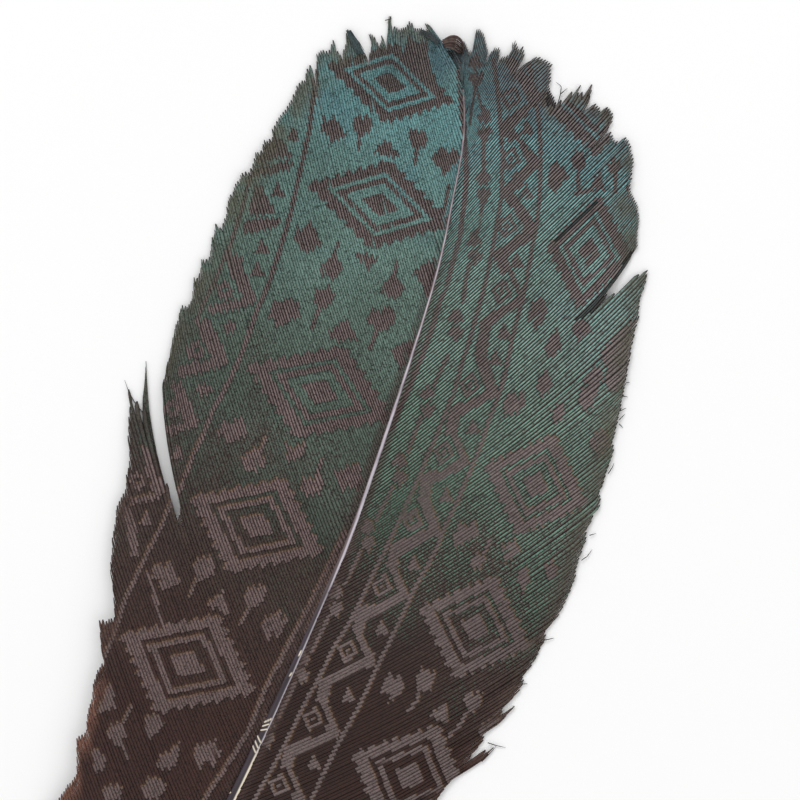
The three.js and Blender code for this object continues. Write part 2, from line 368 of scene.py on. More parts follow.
# Arrows, leaves and triangles, as outlines.
SHAPES = [
    [(322, 117), (328, 122), (333, 113), (338, 121), (340, 128), (348, 133), (344, 137),
     (330, 142), (328, 135), (320, 131)],
    [(352, 127), (356, 113), (362, 118), (366, 113), (372, 118), (373, 128), (367, 133),
     (358, 134)],
    [(373, 150), (388, 139), (400, 157), (385, 156)],
    [(408, 138), (411, 127), (417, 131), (425, 129), (427, 142), (423, 148), (412, 147)],
    [(430, 157), (443, 145), (447, 152), (456, 147), (459, 160), (452, 165), (445, 176),
     (441, 168), (436, 163)],
    [(292, 239), (297, 225), (302, 230), (308, 221), (316, 229), (320, 238), (323, 244),
     (312, 250), (303, 253), (300, 245)],
    [(319, 268), (328, 260), (336, 256), (344, 268), (338, 274), (335, 280), (328, 277),
     (321, 279)],
    [(312, 303), (316, 287), (323, 290), (330, 285), (335, 296), (330, 305), (322, 309)],
    [(354, 251), (379, 258), (366, 271)],
    [(380, 291), (388, 278), (400, 279), (404, 290), (397, 298), (387, 298)],
    [(412, 273), (422, 265), (438, 258), (436, 280), (428, 301), (422, 284)],
    [(367, 318), (373, 307), (381, 312), (388, 305), (396, 312), (394, 324), (384, 331),
     (372, 327)],
    [(328, 333), (346, 319), (357, 339), (336, 341)],
    [(389, 350), (405, 342), (417, 339), (410, 362), (399, 369), (395, 359)],
    [(267, 317), (275, 299), (282, 303), (291, 296), (299, 304), (300, 318), (289, 321),
     (276, 329), (275, 319)],
    [(217, 433), (225, 419), (232, 424), (240, 415), (249, 434), (236, 441), (228, 443),
     (224, 436)],
    [(241, 459), (250, 451), (258, 447), (265, 456), (266, 465), (258, 471), (246, 470)],
    [(283, 443), (294, 448), (305, 442), (307, 453), (298, 458), (289, 463)],
    [(299, 487), (304, 476), (312, 480), (320, 473), (325, 483), (320, 493), (307, 497)],
    [(333, 472), (350, 466), (358, 462), (363, 478), (358, 492), (350, 487), (342, 491),
     (337, 480)],
    [(193, 562), (200, 557), (209, 555), (217, 566), (212, 577), (199, 581)],
    [(149, 578), (158, 561), (163, 568), (170, 559), (181, 583), (166, 588), (158, 589),
     (161, 580)],
    [(205, 603), (224, 591), (229, 614)],
    [(243, 597), (250, 583), (256, 588), (264, 583), (267, 594), (260, 605), (248, 608)],
    [(261, 618), (283, 609), (279, 618), (289, 616), (286, 625), (278, 639), (274, 628),
     (267, 643), (264, 630)],
    [(193, 745), (206, 742), (219, 737), (216, 746), (223, 749), (214, 767), (208, 758),
     (200, 769), (196, 756)],
    [(155, 765), (162, 752), (170, 750), (180, 741), (180, 756), (174, 767), (163, 768)],
    [(144, 716), (158, 711), (166, 722), (158, 733), (149, 739)],
    [(105, 733), (112, 723), (123, 723), (127, 736), (118, 747), (112, 741)],
    [(109, 681), (114, 690), (116, 708), (94, 715), (99, 705)],
    [(90, 752), (98, 747), (107, 758), (105, 769), (95, 773)],
    [(142, 787), (150, 775), (160, 778), (169, 784), (160, 797), (147, 799)],
    [(102, 788), (112, 783), (124, 786), (120, 799), (106, 800)],
    # Left of the first line: pieces of a second zigzag that the edge cuts off.
    [(263, 142), (270, 134), (278, 137), (287, 145), (293, 158), (281, 156), (268, 160),
     (255, 163), (257, 152)],
    [(254, 167), (268, 165), (281, 161), (294, 163), (291, 169), (272, 173), (251, 177)],
    [(248, 215), (251, 198), (256, 184), (262, 188), (267, 198), (275, 210), (277, 214),
     (266, 213), (256, 215)],
    [(241, 233), (244, 221), (256, 219), (268, 217), (279, 217), (281, 224), (266, 230),
     (252, 232)],
    [(226, 254), (240, 254), (248, 280), (257, 300), (246, 304), (236, 284), (230, 270)],
    [(208, 305), (232, 301), (253, 295), (254, 304), (232, 310), (209, 314)],
    [(216, 285), (225, 280), (233, 287), (234, 295), (225, 300), (216, 295)],
    [(222, 326), (232, 319), (239, 330), (224, 334)],
    [(197, 322), (208, 317), (216, 332), (225, 350), (228, 363), (216, 366), (208, 350),
     (200, 337)],
    [(177, 366), (204, 361), (226, 356), (227, 364), (204, 372), (179, 378)],
    [(186, 347), (196, 340), (204, 347), (204, 356), (196, 361), (187, 356)],
    [(196, 388), (206, 381), (213, 392), (199, 396)],
    [(170, 383), (182, 383), (190, 400), (197, 420), (186, 424), (180, 408), (174, 396)],
    [(163, 404), (172, 399), (180, 405), (181, 413), (172, 418), (164, 414)],
    [(165, 427), (180, 424), (197, 418), (198, 426), (180, 431), (166, 436)],
    [(403, 52), (408, 33), (416, 42), (426, 38), (429, 54), (433, 72), (439, 90), (428, 76)],
    # On the loose lobe.
    [(140, 446), (147, 446), (153, 462), (157, 475), (162, 477), (166, 491), (157, 494),
     (150, 486), (146, 472), (142, 460)],
    [(129, 476), (138, 471), (145, 478), (145, 486), (136, 491), (129, 484)],
    [(130, 498), (148, 494), (164, 489), (163, 498), (148, 502), (131, 506)],
    [(123, 507), (131, 506), (137, 530), (139, 556), (131, 556), (127, 530)],
    # Right of the two lines.
    [(548, 173), (556, 159), (562, 166), (571, 177), (561, 183), (550, 183)],
    [(571, 157), (580, 149), (587, 160), (584, 171), (576, 171)],
    [(607, 166), (615, 157), (623, 166), (616, 178)],
    [(528, 318), (531, 304), (543, 297), (549, 310), (545, 320), (536, 331)],
    [(571, 322), (585, 317), (593, 330), (578, 343)],
    [(543, 352), (549, 339), (557, 329), (563, 346), (553, 359)],
    [(536, 386), (541, 375), (548, 369), (553, 386), (542, 399)],
    [(503, 401), (512, 391), (518, 397), (524, 388), (526, 402), (519, 413), (505, 416)],
    [(551, 412), (562, 403), (566, 414), (556, 425)],
    [(583, 380), (596, 366), (606, 376), (598, 390)],
    [(452, 537), (460, 521), (468, 528), (475, 518), (479, 536), (468, 541), (455, 548)],
    [(469, 567), (476, 551), (487, 556), (480, 569)],
    [(501, 546), (516, 539), (521, 551), (505, 563)],
    [(516, 577), (526, 565), (531, 580), (523, 593)],
    [(544, 568), (554, 560), (560, 572), (550, 582)],
    [(379, 691), (390, 670), (395, 680), (399, 671), (405, 690), (387, 703), (391, 694)],
    [(415, 677), (422, 667), (428, 671), (437, 672), (433, 684), (430, 690), (418, 692)],
    [(427, 715), (446, 701), (449, 726)],
    [(463, 701), (468, 689), (474, 694), (483, 693), (480, 707), (470, 715)],
    [(477, 728), (494, 718), (506, 716), (484, 741)],
    [(589, 190), (600, 170), (607, 191)],
    [(547, 183), (563, 182), (557, 193), (551, 190)],
    [(626, 184), (633, 179), (637, 190), (634, 201), (629, 196)],
    [(601, 352), (612, 340), (622, 329), (640, 318), (640, 350), (632, 362), (631, 384),
     (612, 392), (606, 384), (608, 372)],
    [(581, 390), (590, 385), (598, 392), (592, 406), (584, 411), (579, 401)],
    [(590, 441), (600, 428), (608, 430), (612, 447), (600, 458), (594, 451)],
]
# Unetched centres of the rings at the edge of the left vane.
HOLES = [(172, 409), (137, 480), (225, 290), (196, 350)]
HOLE_SIZE = 2.6
# The teeth along the outlines of the shapes and the beads: height and distance.
FEATHER = 2.6
FEATHER_PITCH = 6.2
# How far from its first point or its middle a figure may reach.
REACH = {"ring": 30, "pocket": 20, "diamond": 90, "shape": 60, "bead": 30, "stem": 75}


def along_sides(points, diamond):
    """Points in units of a diamond's two half axes, from its centre."""
    centre, across_axis, up_axis = (np.array(part, float) for part in diamond)
    matrix = np.linalg.inv(np.array([across_axis, up_axis]).T)
    return np.moveaxis((points - centre) @ matrix.T, -1, 0)


def diamond_etched(points, diamond):
    """Block, ring and serrated band. Two sides are toothed and the other two are stepped."""
    a, b = along_sides(points, diamond)
    level = abs(a) + abs(b)
    steps = (np.floor(abs(a) * STAIRS) + np.floor(abs(b) * STAIRS)) / STAIRS
    tooth = 1 - abs(2 * ((abs(a) * STAIRS) % 1) - 1)
    toothed = level < 1 - TOOTH / 2 + TOOTH * tooth
    edge = np.where(a * b > 0, toothed, steps < 1 - 0.5 / STAIRS)
    band = (level > BAND_LEVEL) & edge
    ring = (level > RING_LEVELS[0]) & (level < RING_LEVELS[1])
    return (level < BLOCK_LEVEL) | ring | band, level < BAND_LEVEL


def line_distance(points, line):
    """Distance of points from a line of pixels."""
    nearest = np.full(points.shape[:-1], np.inf)
    for start, end in zip(np.array(line[:-1], float), np.array(line[1:], float)):
        step = end - start
        part = np.clip(((points - start) @ step) / (step @ step), 0, 1)
        gap = points - start - part[..., None] * step
        nearest = np.minimum(nearest, np.hypot(gap[..., 0], gap[..., 1]))
    return nearest


def near(points, centre, reach):
    """Which points are near a figure. The others needn't be compared with it."""
    return np.hypot(points[:, 0] - centre[0], points[:, 1] - centre[1]) < reach


# Places where the vane folds down into its own shadow.
FOLDS = [
    [(449, 49), (463, 48), (461, 58), (459, 68), (457, 70), (455, 64), (452, 56)],
    [(550, 87), (554, 92), (559, 106), (549, 107), (546, 99)],
    [(640, 246), (636, 258), (620, 282), (609, 298), (596, 310), (582, 318), (575, 320),
     (583, 311), (597, 298), (607, 287), (619, 270), (629, 252)],
    [(597, 199), (599, 202), (578, 222), (556, 243), (553, 240), (575, 220)],
]


def etched(points):
    """Whether pixels of the photograph are etched. The points are a flat list."""
    result = np.zeros(len(points), bool)

    def paint(where, value, found):
        result[np.flatnonzero(where)[found]] = value

    feathered = points.copy()
    feathered[:, 1] += FEATHER * (4 * abs(points[:, 0] / FEATHER_PITCH % 1 - 0.5) - 1)
    saw = abs((points @ ZIGZAG_WAY) / ZIGZAG_PITCH % 1 - 0.5)
    result |= line_distance(points, ZIGZAG) < ZIGZAG_HALF + ZIGZAG_TOOTH * (saw - 0.2)
    for centre in RINGS:
        where = near(points, centre, REACH["ring"])
        a, b = along_sides(points[where], (centre,) + RING_AXES)
        level = abs(a) + abs(b)
        paint(where, False, level < RING_GAP)
        ring = (level < RING_EDGE) & (level > RING_HOLE[1])
        paint(where, True, ring | (level < RING_HOLE[0]))
    for place in POCKETS:
        where = near(points, place, REACH["pocket"])
        shape = [(place[0] + x, place[1] + y) for x, y in POCKET]
        paint(where, True, inside(points[where], shape))
    for diamond in DIAMONDS:
        where = near(points, diamond[0], REACH["diamond"])
        marks, middle = diamond_etched(points[where], diamond)
        paint(where, False, middle)
        paint(where, True, marks)
    for shape in SHAPES:
        where = near(points, shape[0], REACH["shape"])
        paint(where, True, inside(feathered[where], shape))
    for hole in HOLES:
        paint(near(points, hole, HOLE_SIZE), False, slice(None))
    for bead in BEADS:
        where = near(points, bead, REACH["bead"])
        a = abs(feathered[where, 0] - bead[0]) / BEAD_SIZE[0]
        away = abs(feathered[where, 1] - bead[1]) / BEAD_SIZE[1]
        paint(where, True, (a < 1 - away ** 2) & (away > BEAD_GAP + BEAD_ROUND * a ** 2))
    for stem in STEMS:
        where = near(points, stem[0], REACH["stem"])
        paint(where, True, line_distance(points[where], stem) < STEM_HALF)
    for half, line in LINES:
        result |= line_distance(points, line) < half
    return result


# ---------------------------------------------------------------- materials

def rgb(red, green, blue):
    """Linear colour of a colour as seen on a screen, 0 to 255."""
    screen = np.array([red, green, blue]) / 255
    linear = np.where(screen <= 0.04045, screen / 12.92, ((screen + 0.055) / 1.055) ** 2.4)
    return (*linear, 1.0)


class Surface:
    """A material, and short calls that add its nodes."""

    def __init__(self, name, roughness, specular):
        self.material = bpy.data.materials.new(name)
        self.material.use_nodes = True
        self.tree = self.material.node_tree
        self.shader = self.tree.nodes["Principled BSDF"]
        self.shader.inputs["Roughness"].default_value = roughness
        self.shader.inputs["Specular IOR Level"].default_value = specular
        self.place = self.node("ShaderNodeTexCoord").outputs["Object"]

    def node(self, kind, values=(), **settings):
        made = self.tree.nodes.new(kind)
        for name, value in settings.items():
            setattr(made, name, value)
        for socket, value in dict(values).items():
            if isinstance(value, bpy.types.NodeSocket):
                self.tree.links.new(value, made.inputs[socket])
            else:
                made.inputs[socket].default_value = value
        return made

    def attribute(self, name):
        return self.node("ShaderNodeAttribute", attribute_name=name).outputs["Fac"]

    def math(self, operation, a, b=0.0):
        return self.node("ShaderNodeMath", {0: a, 1: b}, operation=operation).outputs[0]

    def span(self, value, low, high):
        """0 below low, 1 above high, smooth between."""
        made = self.node(
            "ShaderNodeMapRange", {"Value": value, "From Min": low, "From Max": high},
            interpolation_type="SMOOTHSTEP")
        return made.outputs["Result"]

    def times(self, a, b):
        return self.math("MULTIPLY", a, b)

    def ramp(self, value, stops):
        """A colour for each stop. A single number is a grey, in linear values."""
        made = self.node("ShaderNodeValToRGB", {"Fac": value})
        elements = made.color_ramp.elements
        while len(elements) < len(stops):
            elements.new(1.0)
        for element, (place, colour) in zip(elements, stops):
            element.position = place
            grey = not isinstance(colour, tuple)
            element.color = (colour, colour, colour, 1.0) if grey else rgb(*colour)
        return made.outputs["Color"]

    def mix(self, factor, a, b, blend="MIX"):
        made = self.node(
            "ShaderNodeMix", {0: factor, 6: a, 7: b}, data_type="RGBA", blend_type=blend)
        return made.outputs[2]

    def shaded(self, colour, value, stops):
        return self.mix(1.0, colour, self.ramp(value, stops), "MULTIPLY")

    def noise(self, scale, detail, place=None):
        place = self.place if place is None else place
        made = self.node(
            "ShaderNodeTexNoise", {"Vector": place, "Scale": scale, "Detail": detail})
        return made.outputs["Fac"]

    def vector(self, x, y, z=0.0):
        return self.node("ShaderNodeCombineXYZ", {0: x, 1: y, 2: z}).outputs[0]

    def height(self):
        return self.node("ShaderNodeSeparateXYZ", {0: self.place}).outputs["Y"]

    def finish(self, colour, bump, strength, distance):
        self.tree.links.new(colour, self.shader.inputs["Base Color"])
        made = self.node(
            "ShaderNodeBump", {"Height": bump, "Strength": strength, "Distance": distance})
        self.tree.links.new(made.outputs["Normal"], self.shader.inputs["Normal"])
        return self.material


# Colours along a vane from its base (0) to its tip (1), in screen values. The gap colours are
# partly the barbs' own dark edges and partly painted shade between barbs.
VANE_Y = (-0.056, 0.157)  # metres
VANE_COLOURS = {
    LEFT: {
        "web": [(0.0, (52, 60, 50)), (0.56, (54, 66, 56)), (0.62, (64, 80, 69)),
                (0.70, (90, 110, 98)), (0.76, (110, 136, 124)), (0.82, (124, 158, 147)),
                (0.88, (126, 168, 161)), (0.95, (122, 180, 182)), (1.0, (108, 138, 140))],
        "brown": [(0.0, (70, 40, 32)), (0.50, (66, 42, 36)), (0.62, (76, 60, 54)),
                  (0.7, (92, 76, 70)), (1.0, (96, 92, 86))],
        "ramus": [(0.0, (74, 48, 41)), (0.56, (80, 60, 54)), (0.7, (104, 92, 86)),
                  (0.85, (118, 116, 110)), (1.0, (110, 110, 107))],
        "gap": [(0.0, (60, 36, 29)), (0.50, (60, 38, 33)), (0.66, (56, 48, 44)),
                (0.75, (58, 66, 60)), (0.84, (86, 112, 105)), (0.95, (98, 134, 134)),
                (1.0, (76, 94, 94))],
        "etched": [(0.0, (115, 98, 95)), (0.56, (117, 99, 96)), (0.66, (134, 114, 111)),
                   (0.78, (138, 123, 121)), (1.0, (128, 119, 117))],
        "etched_gap": [(0.0, (102, 84, 81)), (0.56, (98, 81, 78)), (0.66, (74, 59, 58)),
                       (0.8, (72, 60, 60)), (1.0, (68, 60, 60))],
        "edge": [(0.0, (140, 96, 80)), (0.485, (136, 94, 78)), (0.52, (92, 68, 60)),
                 (0.66, (72, 60, 55)), (0.8, (98, 96, 80)), (1.0, (108, 106, 92))],
    },
    RIGHT: {
        "web": [(0.0, (44, 46, 37)), (0.55, (50, 58, 48)), (0.60, (66, 92, 77)),
                (0.66, (94, 136, 116)), (0.74, (116, 158, 140)), (0.82, (134, 180, 166)),
                (0.90, (138, 192, 184)), (0.96, (124, 190, 194)), (1.0, (106, 130, 134))],
        "brown": [(0.0, (62, 30, 19)), (0.54, (61, 34, 24)), (0.62, (74, 58, 51)),
                  (0.7, (92, 74, 68)), (1.0, (96, 90, 85))],
        "ramus": [(0.0, (66, 38, 28)), (0.56, (67, 46, 39)), (0.66, (104, 82, 77)),
                  (0.75, (120, 98, 95)), (0.85, (134, 107, 105)), (1.0, (124, 104, 103))],
        "gap": [(0.0, (50, 25, 17)), (0.54, (46, 27, 20)), (0.66, (30, 23, 21)),
                (0.74, (27, 22, 21)), (0.82, (40, 34, 35)), (1.0, (46, 40, 42))],
        "etched": [(0.0, (120, 104, 101)), (0.56, (119, 104, 102)), (0.68, (118, 105, 103)),
                   (0.78, (138, 125, 123)), (0.9, (148, 136, 135)), (1.0, (140, 130, 129))],
        "etched_gap": [(0.0, (111, 95, 91)), (0.58, (107, 92, 89)), (0.68, (96, 83, 82)),
                       (0.76, (84, 71, 70)), (0.84, (54, 44, 44)), (1.0, (40, 31, 31))],
        "edge": [(0.0, (88, 62, 54)), (0.52, (88, 62, 54)), (0.68, (86, 74, 66)),
                 (0.8, (98, 96, 80)), (1.0, (104, 98, 88))],
    },
}
# Where along the vane the brown gives way to green, in grains and patches.
GREEN_MIDDLE = {LEFT: 0.668, RIGHT: 0.65}
GREEN_SLOPE = {LEFT: 1.1, RIGHT: 1.5}
GREEN_SPAN = (0.44, 0.56)
GREENEST = {LEFT: 0.85, RIGHT: 0.94}
GRAIN_PART = 0.6
# Where the painted blue sheen shows along the vane and in which patches, and how strongly.
SHEEN_FROM = (0.8, 0.95)
SHEEN_PATCHES = (0.52, 0.68)
SHEEN_STRENGTH = 0.45
RAMUS_STRENGTH = {LEFT: 0.45, RIGHT: 0.75}
LOW_PART = (0.74, 0.60)  # where the shade below the green part takes over
# How bright a vane is from the shaft (0) to its edge (1), in its green part and below it.
SHADE_GREEN = {
    LEFT: [(0.0, 1.0), (0.5, 0.96), (0.85, 0.82), (1.0, 0.78)],
    RIGHT: [(0.0, 1.0), (0.9, 1.0), (1.0, 0.94)],
}
SHADE_LOW = {
    LEFT: [(0.0, 0.9), (0.1, 1.0), (0.6, 0.94), (1.0, 0.97)],
    RIGHT: [(0.0, 0.72), (0.3, 0.82), (0.8, 0.97), (1.0, 1.0)],
}
# Across a barb, 0 its base side and 1 its tip side: how strongly each colour shows over the gap.
WEB_SHOWS = {
    LEFT: [(0.0, 0.1), (0.25, 0.75), (0.6, 1.0), (0.85, 0.7), (1.0, 0.1)],
    RIGHT: [(0.36, 0.0), (0.51, 1.0), (0.76, 1.0), (0.91, 0.0)],
}
RAMUS_SHOWS = [(0.08, 0.0), (0.24, 1.0), (0.46, 0.9), (0.6, 0.0)]
ETCHED_SHOWS = [(0.10, 0.0), (0.34, 1.0), (0.64, 1.0), (0.88, 0.0)]
# Colours that wear and painted light add, with how strongly they cover what is below: a painted
# blue sheen, scorch, the band at the roots, painted shadow in folds and dark ends.
BLUE_SHEEN = (92, 140, 158)
SCORCHED, SCORCH_STRENGTH = (126, 92, 58), 0.5
ROOT_BAND, ROOT_STRENGTH = (84, 66, 62), 0.6
SHADOWED, SHADOW_STRENGTH = (46, 40, 41), 0.82
DARK_END = (34, 28, 28)
EDGE_STRENGTH = 0.8
# How bright the surface is: in the painted shade beside the etched marks, and by each kind of
# unevenness.
STEP_SHADOW_SHADE = [(0.0, 1.0), (1.0, 0.42)]
BEAD_SHADE = [(0.25, 0.76), (0.7, 1.0)]
BARB_SHADE = [(0.0, 0.86), (0.5, 0.97), (1.0, 1.0)]
CLOUD_SHADE = [(0.32, 0.86), (0.6, 1.0)]
SPECK_SHADE = {side: [(0.32, dark), (0.50, 0.94), (0.62, 1.0)]
               for side, dark in ((LEFT, 0.30), (RIGHT, 0.52))}
# Noise scales, per metre.
DRIFT_SCALE = 70
CLOUD_SCALE = 110
GREEN_SCALE = 120
PATCH_SCALE = 160
GRAIN_SCALE = 4200
BARBULE_SCALE = 9000


class VaneSurface(Surface):
    """The material of one vane's barbs, with the values that its layers share."""

    def __init__(self, name, side):
        super().__init__(name, roughness=0.50, specular=0.25)
        self.side = side
        base_to_tip = self.node(
            "ShaderNodeMapRange",
            {"Value": self.height(), "From Min": VANE_Y[0], "From Max": VANE_Y[1]},
        ).outputs["Result"]
        drift = self.times(self.noise(DRIFT_SCALE, 3.0), 0.10)
        self.along_vane = self.math("ADD", base_to_tip, self.math("SUBTRACT", drift, 0.05))
        self.across = self.times(self.math("ADD", self.attribute("across"), 1.0), 0.5)
        self.out = self.attribute("out")
        self.beads = self.noise(
            1.0, 3.0, self.vector(self.attribute("along"), self.attribute("tone")))
        self.patches = self.noise(PATCH_SCALE, 2.0)
        self.grain = self.noise(GRAIN_SCALE, 1.0)
        self.low = self.span(self.along_vane, *LOW_PART)

    def colour(self, name):
        """One of the vane's colours, which change from its base to its tip."""
        return self.ramp(self.along_vane, VANE_COLOURS[self.side][name])

    def green(self):
        """How far the brown has given way to green."""
        spread = self.math(
            "ADD", self.times(self.noise(GREEN_SCALE, 3.0), 1 - GRAIN_PART),
            self.times(self.grain, GRAIN_PART))
        rise = self.math("SUBTRACT", self.along_vane, GREEN_MIDDLE[self.side])
        rise = self.times(rise, GREEN_SLOPE[self.side])
        green = self.span(self.math("ADD", spread, rise), *GREEN_SPAN)
        return self.times(green, GREENEST[self.side])

    def plain(self):
        """Uncut barbs: a pale ramus and a coloured web over the dark gap between barbs, which is
        partly painted shade.
        """
        web = self.mix(self.green(), self.colour("brown"), self.colour("web"))
        # Painted blue sheen in patches near the tip.
        blue = self.times(self.span(self.along_vane, *SHEEN_FROM),
                          self.span(self.patches, *SHEEN_PATCHES))
        web = self.mix(self.times(blue, SHEEN_STRENGTH), web, rgb(*BLUE_SHEEN))
        ramus_shows = self.times(self.ramp(self.across, RAMUS_SHOWS), RAMUS_STRENGTH[self.side])
        web_shows = self.times(self.ramp(self.across, WEB_SHOWS[self.side]),
                               self.span(self.beads, 0.12, 0.55))
        plain = self.mix(ramus_shows, self.colour("gap"), self.colour("ramus"))
        plain = self.mix(web_shows, plain, web)
        shade = self.mix(self.low, self.ramp(self.out, SHADE_GREEN[self.side]),
                         self.ramp(self.out, SHADE_LOW[self.side]))
        return self.mix(1.0, plain, shade, "MULTIPLY")

    def cut(self):
        """Etched barbs: the bared barb over its darker foot, which is partly painted shade between
        barbs.
        """
        bared = self.times(self.ramp(self.across, ETCHED_SHOWS),
                           self.span(self.beads, 0.05, 0.45))
        cut = self.mix(bared, self.colour("etched_gap"), self.colour("etched"))
        shade = self.mix(self.low, self.ramp(self.out, SHADE_GREEN[self.side]), (1, 1, 1, 1))
        return self.mix(1.0, cut, shade, "MULTIPLY")

    def worn_and_shaded(self, colour):
        """Painted shade beside the marks, scorched and faded edges, the band at the roots, dark
        ends, and painted shadow in the folds.
        """
        # Painted shade on the uncut vane beside each etched mark, as in the step between them.
        step_shadow = self.times(self.attribute("step_shadow"), self.span(self.along_vane, 0.90, 0.78))
        colour = self.shaded(colour, step_shadow, STEP_SHADOW_SHADE)
        scorch = self.times(self.attribute("scorch"), self.span(self.patches, 0.28, 0.5))
        colour = self.mix(self.times(scorch, SCORCH_STRENGTH), colour, rgb(*SCORCHED))
        edge = self.times(self.span(self.out, 0.86, 0.98), self.span(self.patches, 0.3, 0.55))
        colour = self.mix(self.times(edge, EDGE_STRENGTH), colour, self.colour("edge"))
        root = self.times(self.span(self.attribute("along"), 3.0, 1.4),
                          self.span(self.along_vane, 0.90, 0.74))
        colour = self.mix(self.times(root, ROOT_STRENGTH), colour, rgb(*ROOT_BAND))
        ends = self.times(self.span(self.attribute("rest"), 0.65, 0.1),
                          self.ramp(self.along_vane, [(0.70, 0.45), (0.82, 0.85)]))
        colour = self.mix(ends, colour, rgb(*DARK_END))
        # Painted shadow where the vane folds down and on the barbs folded behind its edges.
        folded = self.times(self.attribute("folded"), SHADOW_STRENGTH)
        return self.mix(folded, colour, rgb(*SHADOWED))

    def uneven(self, colour):
        """Beads along each barb, lighter and darker barbs, clouds and specks."""
        colour = self.shaded(colour, self.beads, BEAD_SHADE)
        tone = self.node("ShaderNodeTexWhiteNoise", {"W": self.attribute("tone")},
                         noise_dimensions="1D").outputs["Value"]
        colour = self.shaded(colour, tone, BARB_SHADE)
        colour = self.shaded(colour, self.noise(CLOUD_SCALE, 4.0), CLOUD_SHADE)
        return self.shaded(colour, self.grain, SPECK_SHADE[self.side])


def vane_material(name, side):
    surface = VaneSurface(name, side)
    colour = surface.mix(surface.attribute("etched"), surface.plain(), surface.cut())
    colour = surface.uneven(surface.worn_and_shaded(colour))
    barbules = surface.noise(BARBULE_SCALE, 2.0)
    return surface.finish(colour, barbules, strength=0.35, distance=0.00004)


# ---------------------------------------------------------------- barbs

SAMPLE = 0.12  # between the places where a barb is compared with the outline and the pattern
STATION_STEP, ALONG_STEP = 0.5, 0.1  # steps that measure how far apart barbs grow
LEAST_APART = 0.3  # least spread of barbs, as part of the distance between their roots
LONGEST = 64.0
SHORTEST = 2.5
SURELY_INSIDE = 4  # how far from the shaft the outline can't be
LENGTH_SPREAD = 0.07
ROW_STEP = 2.6
LAST_ROW = 0.6  # how near the barb's end a row may come, as part of its taper
AHEAD = 0.05  # step that gives a barb's heading
TONES = 900
FIRST_STATION, LAST_STATION = 104, 317.6
# Etched marks.
PLAIN, ETCHED, FOLDED = 0, 1, 2
SHORTEST_MARK = 2  # samples
STEP_HALF = 0.05  # half the length of the step at a mark's edge
MARK_MARGIN = 0.2  # least distance of a mark's edge from the ends of the barb
RAGGED = 0.05  # how far the etched edges differ from barb to barb
# Painted shade in the uncut vane beside a mark, as in the step down to it: how dark it is before
# the mark and after it along the barb, and how far it reaches.
STEP_SHADOW_BEFORE = 1.0
STEP_SHADOW_AFTER = 0.5
STEP_SHADOW_REACH = 0.35
SCORCH_BELOW_PX = 430  # the marks' edges are scorched below this height of the photograph
# The barbs' ends.
TAPER = 0.7
END_WIDTH = 0.35
CURLED_BELOW = {LEFT: 236, RIGHT: 247}  # stations; above them the barbs end in loose tufts
EDGE_CURL = {LEFT: 0.35, RIGHT: 0.45}  # how far the ends of the barbs turn up along the edge
CURL_REACH = 2.4
CLUMPED_ABOVE = 262  # station
CLUMP_PULL = 0.16
CLUMP_REACH = 3.0
CLUMP_POWER = 1.5
LOOSE_DRIFT = 0.09  # how far a barb strays from its neighbours at this distance from the shaft
LOOSE_REACH = 50
# Perpendicular distance between barbs, as (station, distance).
SPACING = {
    LEFT: [(104, 0.50), (168, 0.48), (215, 0.46), (265, 0.38), (318, 0.34)],
    RIGHT: [(104, 0.52), (168, 0.50), (215, 0.47), (265, 0.41), (303, 0.37), (308, 0.24),
            (318, 0.20)],
}
OVERLAP = 1.04
NARROWEST_HALF, WIDEST_HALF = 0.05, 0.36
# How far from the shaft's middle the barbs leave it, as (station, part of its radius).
ROOT_OUT = {
    LEFT: [(104, 0.80), (205, 0.80), (232, 0.40)],
    RIGHT: [(104, 0.40), (318, 0.40)],
}
# Heights: at the shaft, where the barbs have levelled out, and of folded and stray barbs.
ROOT_LIFT = 0.87
LEAST_LIFT = 0.2
LEVEL_AFTER = 4
SUNK = 0.04
RIDGE_SPREAD = 0.02
FOLD_DEPTH = 0.25
LOWEST = 0.02
# Section of a barb, from its ridge round by the right: (part of the half width, drop from the
# ridge in millimetres), whole and then etched.
SECTION = [(0, 0.0), (0.34, 0.03), (1, 0.12), (0, 0.34), (-1, 0.12), (-0.34, 0.03)]
SECTION_ETCHED = [(0, 0.03), (0.22, 0.12), (1, 0.19), (0, 0.34), (-1, 0.19), (-0.22, 0.12)]
CORNERS = len(SECTION)
LOOKS_DOWN = [False, False, True, True, False, False]  # the sides between those corners
UNDERSIDE = 0.34
# The map for baking: the size and the corner of each of its halves.
BAKE_SIZE, BAKE_CORNER, BAKE_HALF = (0.48, 0.98), (0.01, 0.01), 0.5
# How deep the grooves between barbs are, as (station, part of the section's drop), and how deep
# they may be between etched barbs. Lower down the barbs are flatter.
GROOVE = {
    LEFT: [(104, 0.22), (205, 0.22), (235, 0.5), (262, 0.65)],
    RIGHT: [(104, 0.18), (212, 0.18), (238, 0.6), (262, 1.0)],
}
GROOVE_ETCHED = [(104, 0.10), (225, 0.15), (240, 0.3), (252, 0.8), (262, 1.0)]


def barb_stations(side):
    """Stations of the barbs' roots, so that the barbs keep their distance half way along."""
    stations = [float(FIRST_STATION)]
    while stations[-1] < LAST_STATION:
        here = stations[-1]
        half = table(FULL_REACH, here) * 0.5
        nearby = np.array([here, here, here + STATION_STEP])
        point, ahead, beside = barb_points(
            side, nearby, np.array([half, half + ALONG_STEP, half]), np.zeros(3))
        way = (ahead - point) / np.hypot(*(ahead - point))
        step = (beside - point) / STATION_STEP
        apart = abs(step[0] * way[1] - step[1] * way[0])
        stations.append(here + table(SPACING[side], here) / max(apart, LEAST_APART))
    return np.array(stations)


def barb_start(side, station):
    """How far from the shaft's middle a barb begins."""
    clear = table(SHAFT_RADIUS, station) * table(ROOT_OUT[side], station)
    return clear / np.sin(np.radians(table(BARB_ANGLE[side], station)))


